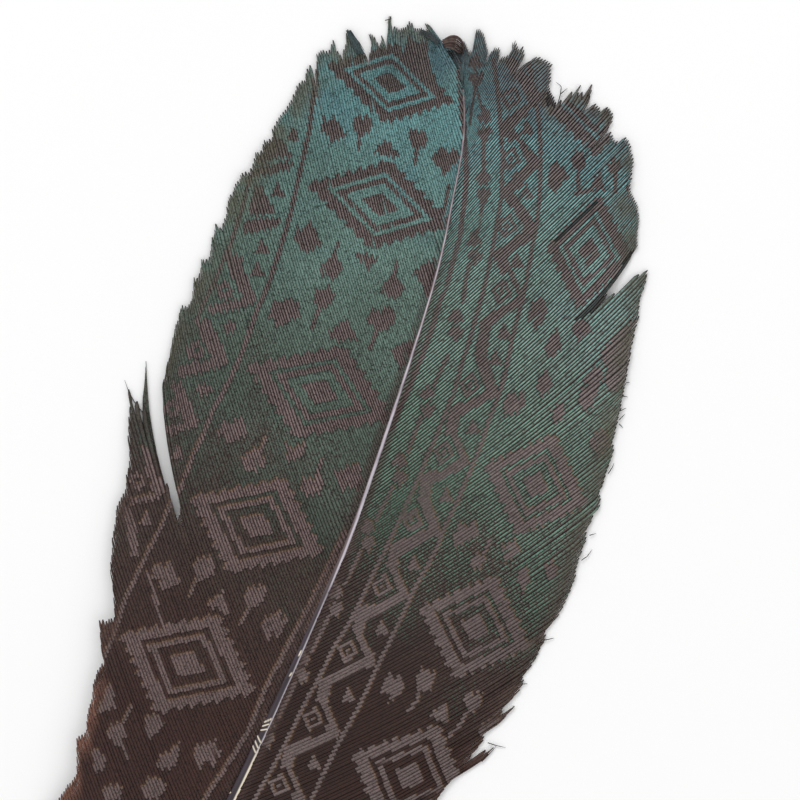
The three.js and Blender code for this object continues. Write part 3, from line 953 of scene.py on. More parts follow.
def trim_lengths(side, stations, samples, pixels):
    """Length of each barb: to the outline where the photograph shows it, else from the table."""
    outside = ~inside(pixels, OUTLINE)
    outside[:, samples < SURELY_INSIDE] = False
    gone = outside[:, :-2] & outside[:, 1:-1] & outside[:, 2:]
    shown = np.where(gone.any(axis=1), samples[gone.argmax(axis=1)], LONGEST)
    unseen = UNSEEN_LENGTH[side]
    lengths = np.where(stations < unseen[-1][0], table(unseen, stations), shown)
    return np.maximum(lengths + RANDOM.normal(0, LENGTH_SPREAD, len(stations)), SHORTEST)


def tufts(side, stations, lengths):
    """Pull of each barb towards the middle of its tuft at the tip, and the tuft's number."""
    smooth = np.convolve(lengths, [0.25, 0.5, 0.25], "same")
    notch = (smooth[1:-1] < smooth[:-2]) & (smooth[1:-1] <= smooth[2:])
    notch &= stations[1:-1] > CLUMPED_ABOVE
    tuft = np.concatenate([[0], np.cumsum(notch), [notch.sum()]])
    order = np.arange(len(stations))
    middle = np.array([order[tuft == number].mean() for number in range(tuft[-1] + 1)])
    pull = (middle[tuft] - order) * table(SPACING[side], stations) * CLUMP_PULL
    return np.where(tuft > 0, pull, 0), tuft


def clean_marks(marks):
    """Marks without the runs that are too short to be cut."""
    for row in marks:
        edges = np.flatnonzero(np.diff(row)) + 1
        for start, end in zip(edges[:-1], edges[1:]):
            if end - start < SHORTEST_MARK:
                row[start:end] = row[start - 1]
    return marks


def barb_rows(samples, marks, start, length, scorched):
    """Rows of one barb as (along, mark, scorch, and the painted shade beside a mark)."""
    rows = [(along, marks[int(along / SAMPLE)], 0, 0)
            for along in np.arange(start, length - TAPER * LAST_ROW, ROW_STEP)]
    rows += [(length - TAPER, marks[int(max(length - TAPER, 0) / SAMPLE)], 0, 0),
             (length, marks[int(length / SAMPLE)], 0, 0)]
    edges = np.flatnonzero(marks[1:] != marks[:-1]) + 1
    places = samples[edges] - SAMPLE / 2
    roomy_before = np.diff(places, prepend=-LONGEST) > STEP_SHADOW_REACH + 2 * STEP_HALF
    roomy_after = np.diff(places, append=2 * LONGEST) > STEP_SHADOW_REACH + 2 * STEP_HALF
    for edge, along, before_free, after_free in zip(edges, places, roomy_before, roomy_after):
        if not start + MARK_MARGIN < along < length - MARK_MARGIN:
            continue
        before, after = marks[edge - 1], marks[edge]
        scorch = float(scorched[edge] and before == ETCHED and after == PLAIN)
        rows += [(along - STEP_HALF, before, scorch, STEP_SHADOW_BEFORE * (before == PLAIN)),
                 (along + STEP_HALF, after, scorch * 0.5, STEP_SHADOW_AFTER * (after == PLAIN))]
        if before_free and (before == PLAIN or scorch):
            rows.append((along - STEP_SHADOW_REACH, before, 0, 0))
        if after_free and after == PLAIN:
            rows.append((along + STEP_SHADOW_REACH, after, 0, 0))
    rows = sorted(row for row in rows if start <= row[0] <= length)
    kept = [rows[0]]
    for row in rows[1:]:
        if row[0] - kept[-1][0] > STEP_HALF:
            kept.append(row)
    return kept


def waves(station, along):
    """Gentle unevenness of the vane's surface."""
    return (0.07 * np.sin(station * 0.31 + along * 0.11)
            + 0.05 * np.sin(station * 0.83 - along * 0.17 + 1.3)
            + 0.03 * np.sin(station * 1.9 + along * 0.05 + 0.4))


def make_piece(name, corners, faces, attributes, material, bake=None):
    """A mesh object. The attributes have one value for each corner."""
    mesh = bpy.data.meshes.new(name)
    mesh.from_pydata(corners.tolist(), [], faces)
    for label, values in attributes.items():
        layer = mesh.attributes.new(label, "FLOAT", "POINT")
        layer.data.foreach_set("value", np.asarray(values, np.float32).ravel())
    mesh.polygons.foreach_set("use_smooth", np.ones(len(mesh.polygons), bool))
    if bake is not None:
        layer = mesh.uv_layers.new(name="OFBake")
        layer.data.foreach_set("uv", bake.astype(np.float32).ravel())
    mesh.materials.append(material)
    mesh.update()
    piece = bpy.data.objects.new(name, mesh)
    bpy.context.scene.collection.objects.link(piece)
    return piece


def planar_bake(corners, faces, under):
    """A flat map from above: upper faces in its left half and faces that look down in its right."""
    flat = corners[:, :2]
    low, high = flat.min(axis=0), flat.max(axis=0)
    unit = (flat - low) / (high - low)
    spots = unit[faces] * BAKE_SIZE + BAKE_CORNER
    spots[under, :, 0] += BAKE_HALF
    return spots


class Barbs:
    """The barbs of one vane: where they grow, how long they are, and their marks."""

    def __init__(self, side):
        self.side = side
        self.stations = barb_stations(side)
        self.count = len(self.stations)
        self.starts = barb_start(side, self.stations)
        samples = np.arange(0, LONGEST + 2 * SAMPLE, SAMPLE)
        pixels = self.seen(np.broadcast_to(samples, (self.count, len(samples))))
        self.lengths = trim_lengths(side, self.stations, samples, pixels)
        marks = self.marks(samples, pixels)
        low_down = pixels[..., 1] > SCORCH_BELOW_PX
        self.rows = [
            barb_rows(samples, marks[k], self.starts[k], self.lengths[k], low_down[k])
            for k in range(self.count)]
        self.loose = RANDOM.normal(0, LOOSE_DRIFT, self.count)
        self.pull, self.tuft = tufts(side, self.stations, self.lengths)

    def seen(self, along):
        """Pixels of places along every barb."""
        root = np.broadcast_to(self.stations[:, None], along.shape)
        return to_photo(barb_points(self.side, root, along, drift_at(self.side, root, along)))

    def marks(self, samples, pixels):
        """Whether each sample of each barb is plain, etched or folded."""
        spots = self.seen(samples + RANDOM.normal(0, RAGGED, (self.count, 1)))
        found = etched(spots.reshape(-1, 2)).reshape(spots.shape[:-1])
        marks = np.where(found, ETCHED, PLAIN)
        for fold in FOLDS:
            marks[inside(pixels, fold)] = FOLDED
        return clean_marks(marks)

    def path(self, barb, along):
        """Points along barbs as they lie, with their curls and tufts."""
        rest = self.lengths[barb] - along
        end = np.clip(1 - rest / CURL_REACH, 0, 1)
        clumped = np.clip(1 - rest / CLUMP_REACH, 0, 1)
        station = self.stations[barb]
        drift = drift_at(self.side, station, along) + self.loose[barb] * (along / LOOSE_REACH) ** 2
        drift = drift + EDGE_CURL[self.side] * end ** 2 * (station < CURLED_BELOW[self.side])
        drift = drift + self.pull[barb] * clumped ** CLUMP_POWER
        return barb_points(self.side, station, along, drift)

    def half_width(self, owner, here, right, step):
        """Half the distance to the next barb on one side."""
        other = np.clip(owner + step, 0, self.count - 1)
        gap = abs(((self.path(other, here) - self.path(owner, here)) * right).sum(axis=-1)) / 2
        split = self.stations > SPLIT_STATION[self.side]
        parted = (split[other] != split[owner]) | (self.tuft[other] != self.tuft[owner])
        usual = table(SPACING[self.side], self.stations[owner]) / 2
        gap = np.where((other == owner) | (parted & (gap > usual)), usual, gap)
        return np.clip(gap * OVERLAP, NARROWEST_HALF, WIDEST_HALF)

    def ridge(self, owner, here, out, mark):
        """Heights of the barbs' tops: they leave the shaft below its top and level out."""
        station, start = self.stations[owner], self.starts[owner]
        thickness = ROOT_THICKNESS + (EDGE_THICKNESS - ROOT_THICKNESS) * out
        level = thickness - ROOT_THICKNESS / 2 - SUNK
        lift = ROOT_LIFT * np.sqrt(1 - table(ROOT_OUT[self.side], station) ** 2)
        attached = np.maximum(lift * table(SHAFT_RADIUS, station), LEAST_LIFT)
        rise = attached + (level - attached) * smoothstep(here - start, 0, LEVEL_AFTER)
        ridge = vane_bottom(station, here) + ROOT_THICKNESS / 2 + rise
        ridge = ridge + waves(station, here) * out
        uneven = RANDOM.normal(0, RIDGE_SPREAD, self.count)[owner]
        return ridge + (uneven - FOLD_DEPTH * (mark == FOLDED))


def barb_pieces(side, name, material, parts):
    """The barbs of one vane, as several pieces that each take a range of stations."""
    barbs = Barbs(side)
    owner = np.concatenate([np.full(len(rows), k) for k, rows in enumerate(barbs.rows)])
    here, mark, scorch, step_shadow = np.array([row for rows in barbs.rows for row in rows], float).T
    station, length, start = barbs.stations[owner], barbs.lengths[owner], barbs.starts[owner]
    out = (here - start) / (length - start)

    point = barbs.path(owner, here)
    heading = np.arctan2(*(barbs.path(owner, here + AHEAD) - point).T)
    right = np.stack([np.cos(heading), -np.sin(heading)], axis=-1)
    # To the right of the way a barb runs lies the next barb up on the left vane, and the next
    # one down on the right vane.
    widths = np.stack([barbs.half_width(owner, here, right, -side),
                       barbs.half_width(owner, here, right, side)], axis=-1)
    narrowed = END_WIDTH + (1 - END_WIDTH) * np.clip((length - here) / TAPER, 0, 1)
    widths *= narrowed[:, None]
    ridge = barbs.ridge(owner, here, out, mark)

    section = np.where((mark == ETCHED)[:, None, None], SECTION_ETCHED, SECTION)
    aside = np.where(section[..., 0] > 0, widths[:, :1], widths[:, 1:]) * section[..., 0]
    flat = point[:, None] + aside[..., None] * right[:, None]
    groove = np.minimum(
        table(GROOVE[side], station),
        np.where(mark == ETCHED, table(GROOVE_ETCHED, station), 1))
    drop = section[..., 1]
    drop = np.where(drop < UNDERSIDE, drop * groove[:, None], drop)
    corners = metres(flat, np.maximum(ridge[:, None] - drop, LOWEST))

    # Two of these attributes carry painted light: the painted shade beside the marks and the
    # painted shadow in the folds.
    by_row = {
        "etched": mark == ETCHED, "folded": mark == FOLDED, "rest": length - here,
        "scorch": scorch, "step_shadow": step_shadow, "along": here, "out": out,
        "tone": RANDOM.uniform(0, TONES, barbs.count)[owner],
    }
    attributes = {label: np.repeat(values[:, None], CORNERS, axis=1)
                  for label, values in by_row.items()}
    # Towards the tip of the feather is to the right of a left barb and to the left of a right one.
    attributes["across"] = -side * section[..., 0]
    return [cut_piece(f"{name}_{label}", (station >= low) & (station < high),
                      owner, corners, attributes, material) for label, low, high in parts]


def cut_piece(name, chosen, owner, corners, attributes, material):
    """A closed mesh of the chosen rows."""
    rows = np.flatnonzero(chosen)
    joined = rows[:-1][owner[rows[:-1]] == owner[rows[1:]]]
    first = rows[0]
    ring = np.arange(CORNERS)
    following = (ring + 1) % CORNERS
    base = (joined - first)[:, None] * CORNERS
    sides = np.stack([base + ring, base + following, base + CORNERS + following,
                      base + CORNERS + ring], axis=-1)
    starts = (rows[np.flatnonzero(np.diff(owner[rows], prepend=-1))] - first)[:, None] * CORNERS
    ends = (rows[np.flatnonzero(np.diff(owner[rows], append=-1))] - first)[:, None] * CORNERS
    caps = np.concatenate([starts + [3, 2, 1, 0], starts + [5, 4, 3, 0],
                           ends + [0, 1, 2, 3], ends + [0, 3, 4, 5]])
    faces = np.concatenate([sides.reshape(-1, 4), caps])
    under = np.zeros(len(faces), bool)
    under[:len(joined) * CORNERS] = np.tile(LOOKS_DOWN, len(joined))
    used = corners[rows].reshape(-1, 3)
    kept = {label: values[rows] for label, values in attributes.items()}
    bake = planar_bake(used, faces, under)
    return make_piece(name, used, faces.tolist(), kept, material, bake)


# ---------------------------------------------------------------- threads

THREAD_SIDES = 3


def tapered(points, heights, radius, sides=THREAD_SIDES):
    """Corners of tapered threads. Points are (threads, rows, 2)."""
    step = np.gradient(points, axis=1)
    heading = np.arctan2(step[..., 0], step[..., 1])
    turn = np.linspace(0, 2 * math.pi, sides, endpoint=False)
    aside = radius[..., None] * np.sin(turn)
    rise = radius[..., None] * np.cos(turn)
    right = np.stack([np.cos(heading), -np.sin(heading)], axis=-1)
    flat = points[:, :, None] + aside[..., None] * right[:, :, None]
    return metres(flat, np.maximum(heights[..., None] + rise, 0.01))


def thread_faces(threads, rows, sides, first=0):
    """Faces of closed threads, the first of whose corners has the number first."""
    ring = np.arange(sides)
    following = (ring + 1) % sides
    base = (np.arange(threads)[:, None] * rows + np.arange(rows - 1))[..., None] * sides
    quads = np.stack(
        [base + ring, base + following, base + sides + following, base + sides + ring], axis=-1)
    root = np.arange(threads)[:, None] * rows * sides
    caps = np.concatenate([root + ring[::-1], root + (rows - 1) * sides + ring])
    return (quads.reshape(-1, 4) + first).tolist() + (caps + first).tolist()


# ---------------------------------------------------------------- quill

QUILL_SIDES = 44
QUILL_STEP = 0.3
QUILL_FINE_STEP = 0.08
QUILL_FINE = (166, 214)  # stations with cut marks
QUILL_END_ROWS = [0, 0.4, 0.8, 1.4]
# Furrows round the shaft: where they lie, how wide they are and how deep, as part of the radius.
TOP_FURROW, TOP_WIDTH, TOP_DEPTH = 0.15, 0.28, 0.07
UNDER_FURROW, UNDER_WIDTH, UNDER_DEPTH = math.pi, 0.3, 0.10
KNOBBLES = 0.012
# Freshly cut marks on the shaft, in pixels.
STROKE_HALF = 0.6
STROKES = [
    [(301.5, 650), (299.5, 654)], [(292, 672), (290, 675)],
    [(265, 721), (271.5, 718)], [(263, 725), (269, 723)], [(261.5, 729), (267.5, 728)],
    [(257.5, 734), (261, 741)], [(255, 738.5), (258.5, 746.5)], [(252.5, 743), (256, 751)],
    [(228, 789), (232, 785)], [(226, 794), (231, 791)],
]
# The pale stripe on the ridge, by pixels down the photograph: its middle and half its width. Above,
# the whole ridge is pale in its own colour. From y 540 down the stripe narrows to the right side as
# a painted highlight, and the ridge darkens from the left in painted shade.
STRIPE_MIDDLE = [(130, 0.0), (200, 0.0), (480, 0.05), (560, 0.30), (700, 0.55), (800, 0.55)]
STRIPE_HALF = [(110, 0.0), (150, 0.14), (300, 0.24), (430, 0.45), (500, 0.42), (560, 0.28),
               (600, 0.14), (700, 0.10), (740, 0.10), (800, 0.20), (1100, 0.4), (1500, -0.2)]
DARK_FROM, DARK_TO = (520, 640), (1050, 1450)
BARE_FROM = (1150, 1500)
CREAM_FROM = (735, 765)
CREAM_MIDDLE, CREAM_HALF = 0.62, 0.30
STRIPE_SOFT, CREAM_SOFT, STROKE_SOFT = 0.25, 0.12, 0.5
BROAD_FROM, BROAD_TO, UNDER_FROM = (120, 160), (236, 262), (60, 90)  # stations


def soft_band(away, half, soft):
    """1 within half of a band's middle, 0 outside it, with a soft edge between."""
    return np.clip((half - away) / soft + 0.5, 0, 1)


def quill_marks(station, across):
    """How pale, dark, bare and freshly cut the shaft is; lower down the pale stripe is partly a
    painted highlight. Across is -1 left to 1 right.
    """
    down = to_photo(shaft_point(station))[..., 1]
    aside = abs(across - table(STRIPE_MIDDLE, down))
    pale = soft_band(aside, table(STRIPE_HALF, down), STRIPE_SOFT)
    dark = smoothstep(down, *DARK_FROM) * (1 - smoothstep(down, *DARK_TO))
    bare = smoothstep(down, *BARE_FROM)
    cream = smoothstep(down, *CREAM_FROM) * soft_band(
        abs(across - CREAM_MIDDLE), CREAM_HALF, CREAM_SOFT)
    return pale, dark, bare, cream * (1 - bare)


def quill_radius(station, turn):
    """Radius of the shaft, with a shallow furrow along its top and another along its underside."""
    radius = table(SHAFT_RADIUS, station)
    broad = smoothstep(station, *BROAD_FROM) * (1 - smoothstep(station, *BROAD_TO))
    top = np.exp(-((turn - TOP_FURROW) / TOP_WIDTH) ** 2)
    radius = radius * (1 - TOP_DEPTH * broad * top)
    under = np.exp(-((turn - UNDER_FURROW) / UNDER_WIDTH) ** 2)
    radius = radius * (1 - UNDER_DEPTH * under * smoothstep(station, *UNDER_FROM))
    return radius * (1 + KNOBBLES * np.sin(station * 2.1) * np.sin(turn * 3 + station * 0.4))


def quill_piece(material):
    stations = np.concatenate([
        QUILL_END_ROWS, np.arange(2, QUILL_FINE[0], QUILL_STEP),
        np.arange(*QUILL_FINE, QUILL_FINE_STEP), np.arange(QUILL_FINE[1], SHAFT_END, QUILL_STEP),
        [SHAFT_END]])
    angle = np.linspace(0, 2 * math.pi, QUILL_SIDES, endpoint=False)
    station, turn = np.meshgrid(stations, angle, indexing="ij")
    across, up = np.sin(turn), np.cos(turn)
    radius = quill_radius(station, turn)
    heading = shaft_heading(station)
    flat = shaft_point(station) + (across * radius)[..., None] * np.stack(
        [np.cos(heading), -np.sin(heading)], axis=-1)
    height = np.maximum(shaft_height(station) + up * radius, 0)
    corners = metres(flat, height).reshape(-1, 3)
    pale, dark, bare, cream = quill_marks(station, across)
    spots = to_photo(flat)
    for stroke in STROKES:
        mark = soft_band(line_distance(spots, stroke), STROKE_HALF, STROKE_SOFT)
        cream = np.maximum(cream, mark * (up > 0))
    faces = thread_faces(1, len(stations), QUILL_SIDES)
    attributes = {"pale": pale, "dark": dark, "bare": bare, "cream": cream}
    return make_piece("quill_shaft", corners, faces, attributes, material)


def quill_material():
    surface = Surface("horn_shaft", roughness=0.34, specular=0.5)
    streaks = surface.node("ShaderNodeMapping", {"Vector": surface.place, "Scale": (1, 0.05, 1)})
    grain = surface.noise(2600, 3.0, streaks.outputs["Vector"])
    mottle = surface.noise(260, 3.0)
    side = surface.ramp(grain, [(0.3, (82, 66, 66)), (0.7, (122, 108, 110))])
    plum = surface.ramp(grain, [(0.3, (30, 20, 25)), (0.7, (58, 46, 56))])
    ridge = surface.ramp(grain, [(0.3, (140, 132, 140)), (0.5, (182, 175, 184)),
                                 (0.7, (202, 196, 204))])
    horn = surface.ramp(mottle, [(0.3, (168, 148, 122)), (0.7, (206, 190, 162))])
    colour = surface.mix(surface.attribute("dark"), side, plum)
    colour = surface.mix(surface.attribute("bare"), colour, horn)
    # The pale ridge, which lower down is a painted highlight along the right side.
    colour = surface.mix(surface.attribute("pale"), colour, ridge)
    colour = surface.mix(surface.attribute("cream"), colour, rgb(226, 214, 192))
    return surface.finish(colour, grain, strength=0.3, distance=0.00005)


# ---------------------------------------------------------------- down

DOWN_LENGTH = {
    LEFT: [(60, 6), (64, 12), (70, 17), (80, 20), (90, 20), (98, 18), (104, 15)],
    RIGHT: [(60, 6), (64, 13), (70, 18), (80, 21), (90, 21), (98, 19), (104, 16)],
}
DOWN_STATIONS = (59, 106)
DOWN_BARBS = 84
DOWN_ROWS = 14
DOWN_RADIUS = 0.07
DOWN_FOOT = 0.35  # height at which the down leaves the shaft
DOWN_TOP = 3.2  # height of the highest tufts beside the shaft
DOWN_SWAY = 2.2
DOWN_CURL = 0.5
WISPS = 30  # barbules on one down barb
WISP_ROWS = 4
WISP_RADIUS = 0.03
WISP_LENGTH = (1.0, 2.3)
WISP_LEAN = (0.5, 1.05)  # from the barb, in radians
WISP_BEND = (-0.5, 0.3)
WISP_RISE = (-0.5, 0.35)


def down_barbs(side):
    """Points and heights of the long soft barbs, as (barbs, rows)."""
    station = np.sort(RANDOM.uniform(*DOWN_STATIONS, DOWN_BARBS))
    length = table(DOWN_LENGTH[side], station) * RANDOM.uniform(0.72, 1.0, DOWN_BARBS)
    part = np.linspace(0, 1, DOWN_ROWS)
    along = length[:, None] * part
    sway = RANDOM.normal(0, 1.0, (DOWN_BARBS, 1)) * part ** 2 * DOWN_SWAY
    curl = DOWN_CURL * np.sin(part * 9 + RANDOM.uniform(0, 6, (DOWN_BARBS, 1))) * part
    level = RANDOM.uniform(0.25, 1.0, (DOWN_BARBS, 1)) * DOWN_TOP
    heights = DOWN_FOOT + (level - DOWN_FOOT) * (1 - part ** 2 * 0.6)
    heights = heights * np.minimum(1, 0.5 + part * 3)
    root = np.broadcast_to(station[:, None], along.shape)
    points = barb_points(side, root, along + table(SHAFT_RADIUS, root) * 0.6, sway + curl)
    return points, heights


def down_wisps(points, heights):
    """Points and heights of the barbules, which leave each barb to both sides and lean ahead."""
    owner = np.repeat(np.arange(DOWN_BARBS), WISPS)
    spots = np.tile(np.linspace(0.08, 0.97, WISPS), DOWN_BARBS)
    spots = spots + RANDOM.uniform(-0.01, 0.01, len(owner))
    row = spots * (DOWN_ROWS - 1)
    low = np.clip(row.astype(int), 0, DOWN_ROWS - 2)
    rest = (row - low)[:, None]
    foot = points[owner, low] * (1 - rest) + points[owner, low + 1] * rest
    ahead = points[owner, low + 1] - points[owner, low]
    heading = np.arctan2(ahead[:, 0], ahead[:, 1])
    way = np.where(np.arange(len(owner)) % 2, 1, -1)
    lean = heading + way * RANDOM.uniform(*WISP_LEAN, len(owner))
    reach = RANDOM.uniform(*WISP_LENGTH, len(owner)) * (1 - 0.45 * spots)
    part = np.linspace(0, 1, WISP_ROWS)
    bend = way * RANDOM.uniform(*WISP_BEND, len(owner))
    turned = lean[:, None] + bend[:, None] * part
    run = reach[:, None] * part
    wisps = foot[:, None] + run[..., None] * np.stack([np.sin(turned), np.cos(turned)], axis=-1)
    rise = RANDOM.uniform(*WISP_RISE, (len(owner), 1)) * part
    return wisps, np.maximum(heights[owner, low][:, None] + rise, 0.05)


def down_piece(side, name, material):
    """A puff of long soft barbs that carry loose barbules."""
    points, heights = down_barbs(side)
    part = np.linspace(0, 1, DOWN_ROWS)
    radius = DOWN_RADIUS * (1 - 0.7 * part) * np.ones((DOWN_BARBS, 1))
    barbs = tapered(points, heights, radius).reshape(-1, 3)
    wisps, wisp_heights = down_wisps(points, heights)
    wisp_part = np.linspace(0, 1, WISP_ROWS)
    wisp_radius = WISP_RADIUS * (1 - 0.75 * wisp_part) * np.ones((len(wisps), 1))
    barbules = tapered(wisps, wisp_heights, wisp_radius).reshape(-1, 3)
    faces = thread_faces(DOWN_BARBS, DOWN_ROWS, THREAD_SIDES)
    faces += thread_faces(len(wisps), WISP_ROWS, THREAD_SIDES, first=len(barbs))
    out = np.concatenate([np.repeat(np.tile(part, DOWN_BARBS), THREAD_SIDES),
                          np.repeat(np.tile(wisp_part, len(wisps)), THREAD_SIDES)])
    return make_piece(name, np.concatenate([barbs, barbules]), faces, {"out": out}, material)


def down_material():
    surface = Surface("soft_down", roughness=0.9, specular=0.15)
    tufted = surface.noise(300, 3.0)
    base = surface.ramp(tufted, [(0.3, (112, 99, 90)), (0.7, (160, 147, 136))])
    colour = surface.mix(surface.times(surface.attribute("out"), 0.5), base, rgb(186, 176, 166))
    return surface.finish(colour, surface.noise(6000, 2.0), strength=0.3, distance=0.00004)


# ---------------------------------------------------------------- loose barbs, in pixels

LOOSE = [
    [(346, 29), (352, 38), (357, 50)], [(348, 30), (356, 40), (361, 49)],
    [(351, 31), (359, 41), (364, 49)], [(385, 19), (388, 18), (392, 17)],
    [(369, 33), (372, 42), (373, 52)], [(380, 44), (382, 50), (382, 54)],
    [(558, 105), (561, 93), (562, 85), (557, 81)], [(561, 93), (568, 87)],
    [(513, 50), (513, 41)], [(514, 45), (516, 39)],
    [(488, 744), (497, 747), (506, 749)], [(482, 763), (490, 755), (497, 747)],
    [(627, 383), (631, 382)], [(623, 396), (629, 397)], [(621, 411), (627, 408)],
    [(620, 420), (626, 414)], [(620, 424), (624, 428)], [(609, 474), (613, 468), (615, 463)],
    [(590, 536), (597, 534)], [(582, 561), (588, 557), (593, 550)], [(546, 641), (555, 639)],
    [(524, 685), (528, 685)], [(150, 578), (148, 563)], [(191, 569), (195, 582)],
    [(141, 412), (132, 400), (127, 390), (123.5, 380)],
    [(142, 413), (134, 403), (129, 394), (126, 387)],
]
# A spike that ends the loose lobe, and barbs folded down behind the edges near the tip, which carry
# painted shadow.
SPIKE = [
    [(172 - 2 * k, 514), (164 - 2 * k, 488), (156 - 2 * k, 458), (150.5 - 2 * k, 430),
     (147 - 1.2 * k, 405), (145.5 - 0.8 * k, 380 + 4 * k), (145 - 0.3 * k, 361 + 6 * k)]
    for k in range(5)
]
FOLDED_DOWN = [[(463, 84), (459 + 0.5 * k, 66), (450 + 1.5 * k, 45)] for k in range(8)]
FOLDED_DOWN += [[(357 + 1.3 * k, 53), (351 + 1.2 * k, 40), (346 + 0.9 * k, 29)]
                for k in range(6)]
FOLDED_DOWN += [[(438 + 0.5 * k, 44 - k), (430, 37 - 1.3 * k), (420, 33 - 1.2 * k)]
                for k in range(5)]
LOOSE_RADIUS, LOOSE_HEIGHT = 0.075, 0.45
SPIKE_RADIUS, SPIKE_HEIGHT = 0.17, 0.8
FOLDED_RADIUS, FOLDED_HEIGHT, FOLDED_SHADE = 0.16, 1.3, 0.95
LOOSE_ROWS = 12
LOOSE_SIDES = 5
# What the vane's material reads on loose barbs: the middle of a vane, far from every end.
AS_IN_VANE = {"etched": 0.0, "scorch": 0.0, "step_shadow": 0.0, "folded": 0.0, "out": 0.4,
              "along": 40.0, "rest": 9.0}


def loose_piece(name, lines, thickness, height, material, **differs):
    """Barbs and barbules that have come away from the vane."""
    part = np.linspace(0, 1, LOOSE_ROWS)
    threads = []
    for line in lines:
        places = np.linspace(0, 1, len(line))
        line = np.array(line, float)
        threads.append(from_photo(np.stack(
            [np.interp(part, places, line[:, 0]), np.interp(part, places, line[:, 1])], axis=-1)))
    points = np.array(threads)
    heights = height * (1 - 0.5 * part) * np.ones((len(threads), 1))
    radius = thickness * (1 - 0.7 * part ** 2) * np.ones((len(threads), 1))
    corners = tapered(points, heights, radius, LOOSE_SIDES).reshape(-1, 3)
    turn = np.arange(LOOSE_SIDES) * 2 * math.pi / LOOSE_SIDES
    attributes = {label: np.full(len(corners), value)
                  for label, value in {**AS_IN_VANE, **differs}.items()}
    attributes["tone"] = np.repeat(np.arange(len(threads)) * 7.3, LOOSE_ROWS * LOOSE_SIDES)
    attributes["across"] = np.tile(np.sin(turn), len(threads) * LOOSE_ROWS)
    faces = thread_faces(len(threads), LOOSE_ROWS, LOOSE_SIDES)
    return make_piece(name, corners, faces, attributes, material)


# Barbs that curl over at the tip, in pixels.
TUFT = [
    [(443, 40), (449, 37), (456, 36.5), (463, 41)], [(443, 41), (450, 38.2), (457, 38), (464, 43)],
    [(443, 42), (450, 39.5), (457, 40), (464, 45.5)], [(443, 43), (450, 41), (457, 42), (464, 48)],
    [(443, 44), (450, 42.5), (457, 44), (463, 50)], [(444, 45), (450, 44), (457, 46), (462, 51)],
    [(444, 46), (450, 45.5), (456, 48), (461, 52)], [(445, 46), (450, 47), (455, 49), (459, 52)],
    [(445, 39), (450, 36), (456, 35.5), (461, 38)], [(459, 38), (462, 41), (464, 47), (463, 53)],
]
TUFT_RADIUS = 0.205
TUFT_ROWS = 14
TUFT_SIDES = 6
TUFT_HEIGHT = 1.25
TUFT_CROWN = 0.5


def tuft_piece(material):
    part = np.linspace(0, 1, TUFT_ROWS)
    curves = [spline(line) for line in TUFT]
    points = from_photo(np.array(
        [curve[np.linspace(0, len(curve) - 1, TUFT_ROWS).astype(int)] for curve in curves]))
    order = np.arange(len(TUFT))[:, None]
    heights = TUFT_HEIGHT + TUFT_CROWN * np.sin(part * math.pi) + 0.02 * order
    radius = TUFT_RADIUS * (1 - 0.5 * part) * np.ones((len(TUFT), 1))
    corners = tapered(points, heights, radius, TUFT_SIDES).reshape(-1, 3)
    faces = thread_faces(len(TUFT), TUFT_ROWS, TUFT_SIDES)
    tone = np.repeat(RANDOM.uniform(0, 1, len(TUFT)), TUFT_ROWS * TUFT_SIDES)
    return make_piece("curled_tuft", corners, faces, {"tone": tone}, material)


def tuft_material():
    surface = Surface("brown_tuft", roughness=0.65, specular=0.2)
    streaks = surface.noise(1500, 3.0)
    base = surface.ramp(surface.attribute("tone"), [
        (0.0, (40, 30, 29)), (0.5, (86, 69, 64)), (1.0, (92, 79, 73))])
    colour = surface.shaded(base, streaks, [(0.3, 0.55), (0.6, 1.0)])
    return surface.finish(colour, streaks, strength=0.4, distance=0.00005)


# ---------------------------------------------------------------- stage

CAMERA_LENS = 200.0
SENSOR = 36.0
FOCUS_HEIGHT = 3.0  # the height at which a pixel is exactly its size
FLOOR_HALF = 3.0  # metres
WORLD_STRENGTH = 0.83
# Name, place in metres, power in watts and size in metres.
LIGHTS = [("key", (-0.85, 0.95, 1.15), 9.0, 0.7), ("fill", (1.1, -0.4, 1.0), 2.0, 1.2)]


def floor_material():
    surface = Surface("pale_floor", roughness=0.9, specular=0.1)
    tone = surface.ramp(surface.noise(3, 2.0),
                        [(0.3, (243, 243, 243)), (0.7, (247, 247, 247))])
    return surface.finish(tone, surface.noise(900, 2.0), strength=0.1, distance=0.0001)


def add_floor():
    mesh = bpy.data.meshes.new("floor")
    mesh.from_pydata(
        [(x * FLOOR_HALF, y * FLOOR_HALF, 0) for x, y in ((-1, -1), (1, -1), (1, 1), (-1, 1))],
        [], [(0, 1, 2, 3)])
    mesh.materials.append(floor_material())
    floor = bpy.data.objects.new("floor", mesh)
    bpy.context.scene.collection.objects.link(floor)


def add_light(name, place, power, size):
    data = bpy.data.lights.new(name, "AREA")
    data.energy = power
    data.size = size
    light = bpy.data.objects.new(name, data)
    light.location = place
    light.rotation_euler = (-light.location).to_track_quat("-Z", "Y").to_euler()
    bpy.context.scene.collection.objects.link(light)


def add_world():
    world = bpy.data.worlds.new("studio")
    world.use_nodes = True
    background = world.node_tree.nodes["Background"]
    background.inputs["Color"].default_value = (1, 1, 1, 1)
    background.inputs["Strength"].default_value = WORLD_STRENGTH
    bpy.context.scene.world = world
    bpy.context.scene.view_settings.view_transform = "Standard"


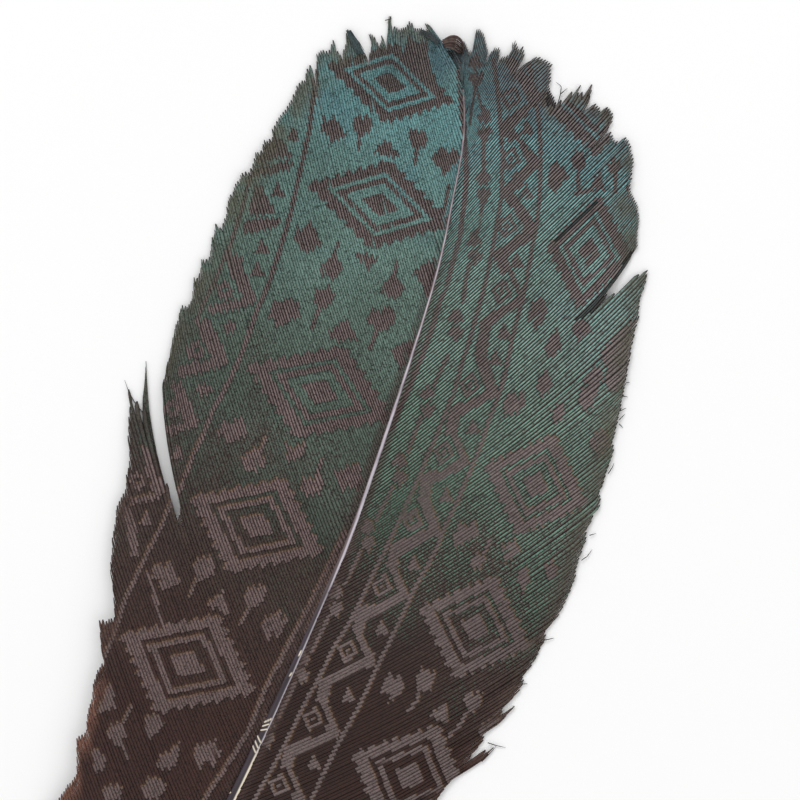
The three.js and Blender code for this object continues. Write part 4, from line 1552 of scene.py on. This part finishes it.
def add_camera():
    """A camera straight above the middle of the photograph, turned as the photograph is."""
    middle = (np.array(from_photo((PHOTO_SIZE / 2, PHOTO_SIZE / 2))) - SHIFT) * MM
    distance = PHOTO_SIZE * PIXEL * MM * CAMERA_LENS / SENSOR
    data = bpy.data.cameras.new("camera")
    data.lens = CAMERA_LENS
    data.sensor_width = SENSOR
    data.clip_start = 0.01
    data.clip_end = 20
    camera = bpy.data.objects.new("camera", data)
    camera.location = (middle[0], middle[1], FOCUS_HEIGHT * MM + distance)
    camera.rotation_euler = (0, 0, LEAN)
    bpy.context.scene.collection.objects.link(camera)
    bpy.context.scene.camera = camera


# ---------------------------------------------------------------- the feather

PAST_TIP = 400  # a station past every barb
RIGHT_CUT = 218  # station at which the right vane's barbs are parted into two pieces


def place_piece(piece, node):
    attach(piece, "root")
    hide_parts(node)


add_world()
add_floor()
for lamp in LIGHTS:
    add_light(*lamp)
add_camera()
left_surface = vane_material("left_vane_barbs", LEFT)
right_surface = vane_material("right_vane_barbs", RIGHT)
for barbs in barb_pieces(
        LEFT, "left_barbs", left_surface,
        [("lower", 0, SPLIT_STATION[LEFT]), ("upper", SPLIT_STATION[LEFT], PAST_TIP)]):
    place_piece(barbs, "left_vane")
for barbs in barb_pieces(
        RIGHT, "right_barbs", right_surface,
        [("lower", 0, RIGHT_CUT), ("upper", RIGHT_CUT, PAST_TIP)]):
    place_piece(barbs, "right_vane")
place_piece(
    loose_piece("loose_barbs", LOOSE, LOOSE_RADIUS, LOOSE_HEIGHT, right_surface, rest=0.0),
    "right_vane")
place_piece(
    loose_piece("lobe_spike", SPIKE, SPIKE_RADIUS, SPIKE_HEIGHT, left_surface),
    "left_vane")
# Barbs folded under the tip, coloured as painted shadow.
place_piece(
    loose_piece("folded_barbs_in_shadow", FOLDED_DOWN, FOLDED_RADIUS, FOLDED_HEIGHT, left_surface,
                folded=FOLDED_SHADE),
    "left_vane")
place_piece(tuft_piece(tuft_material()), "left_vane")
place_piece(quill_piece(quill_material()), "quill")
soft = down_material()
place_piece(down_piece(LEFT, "left_down_tuft", soft), "left_down")
place_piece(down_piece(RIGHT, "right_down_tuft", soft), "right_down")


def plain(box):
    return [[float(value) for value in corner] for corner in box]
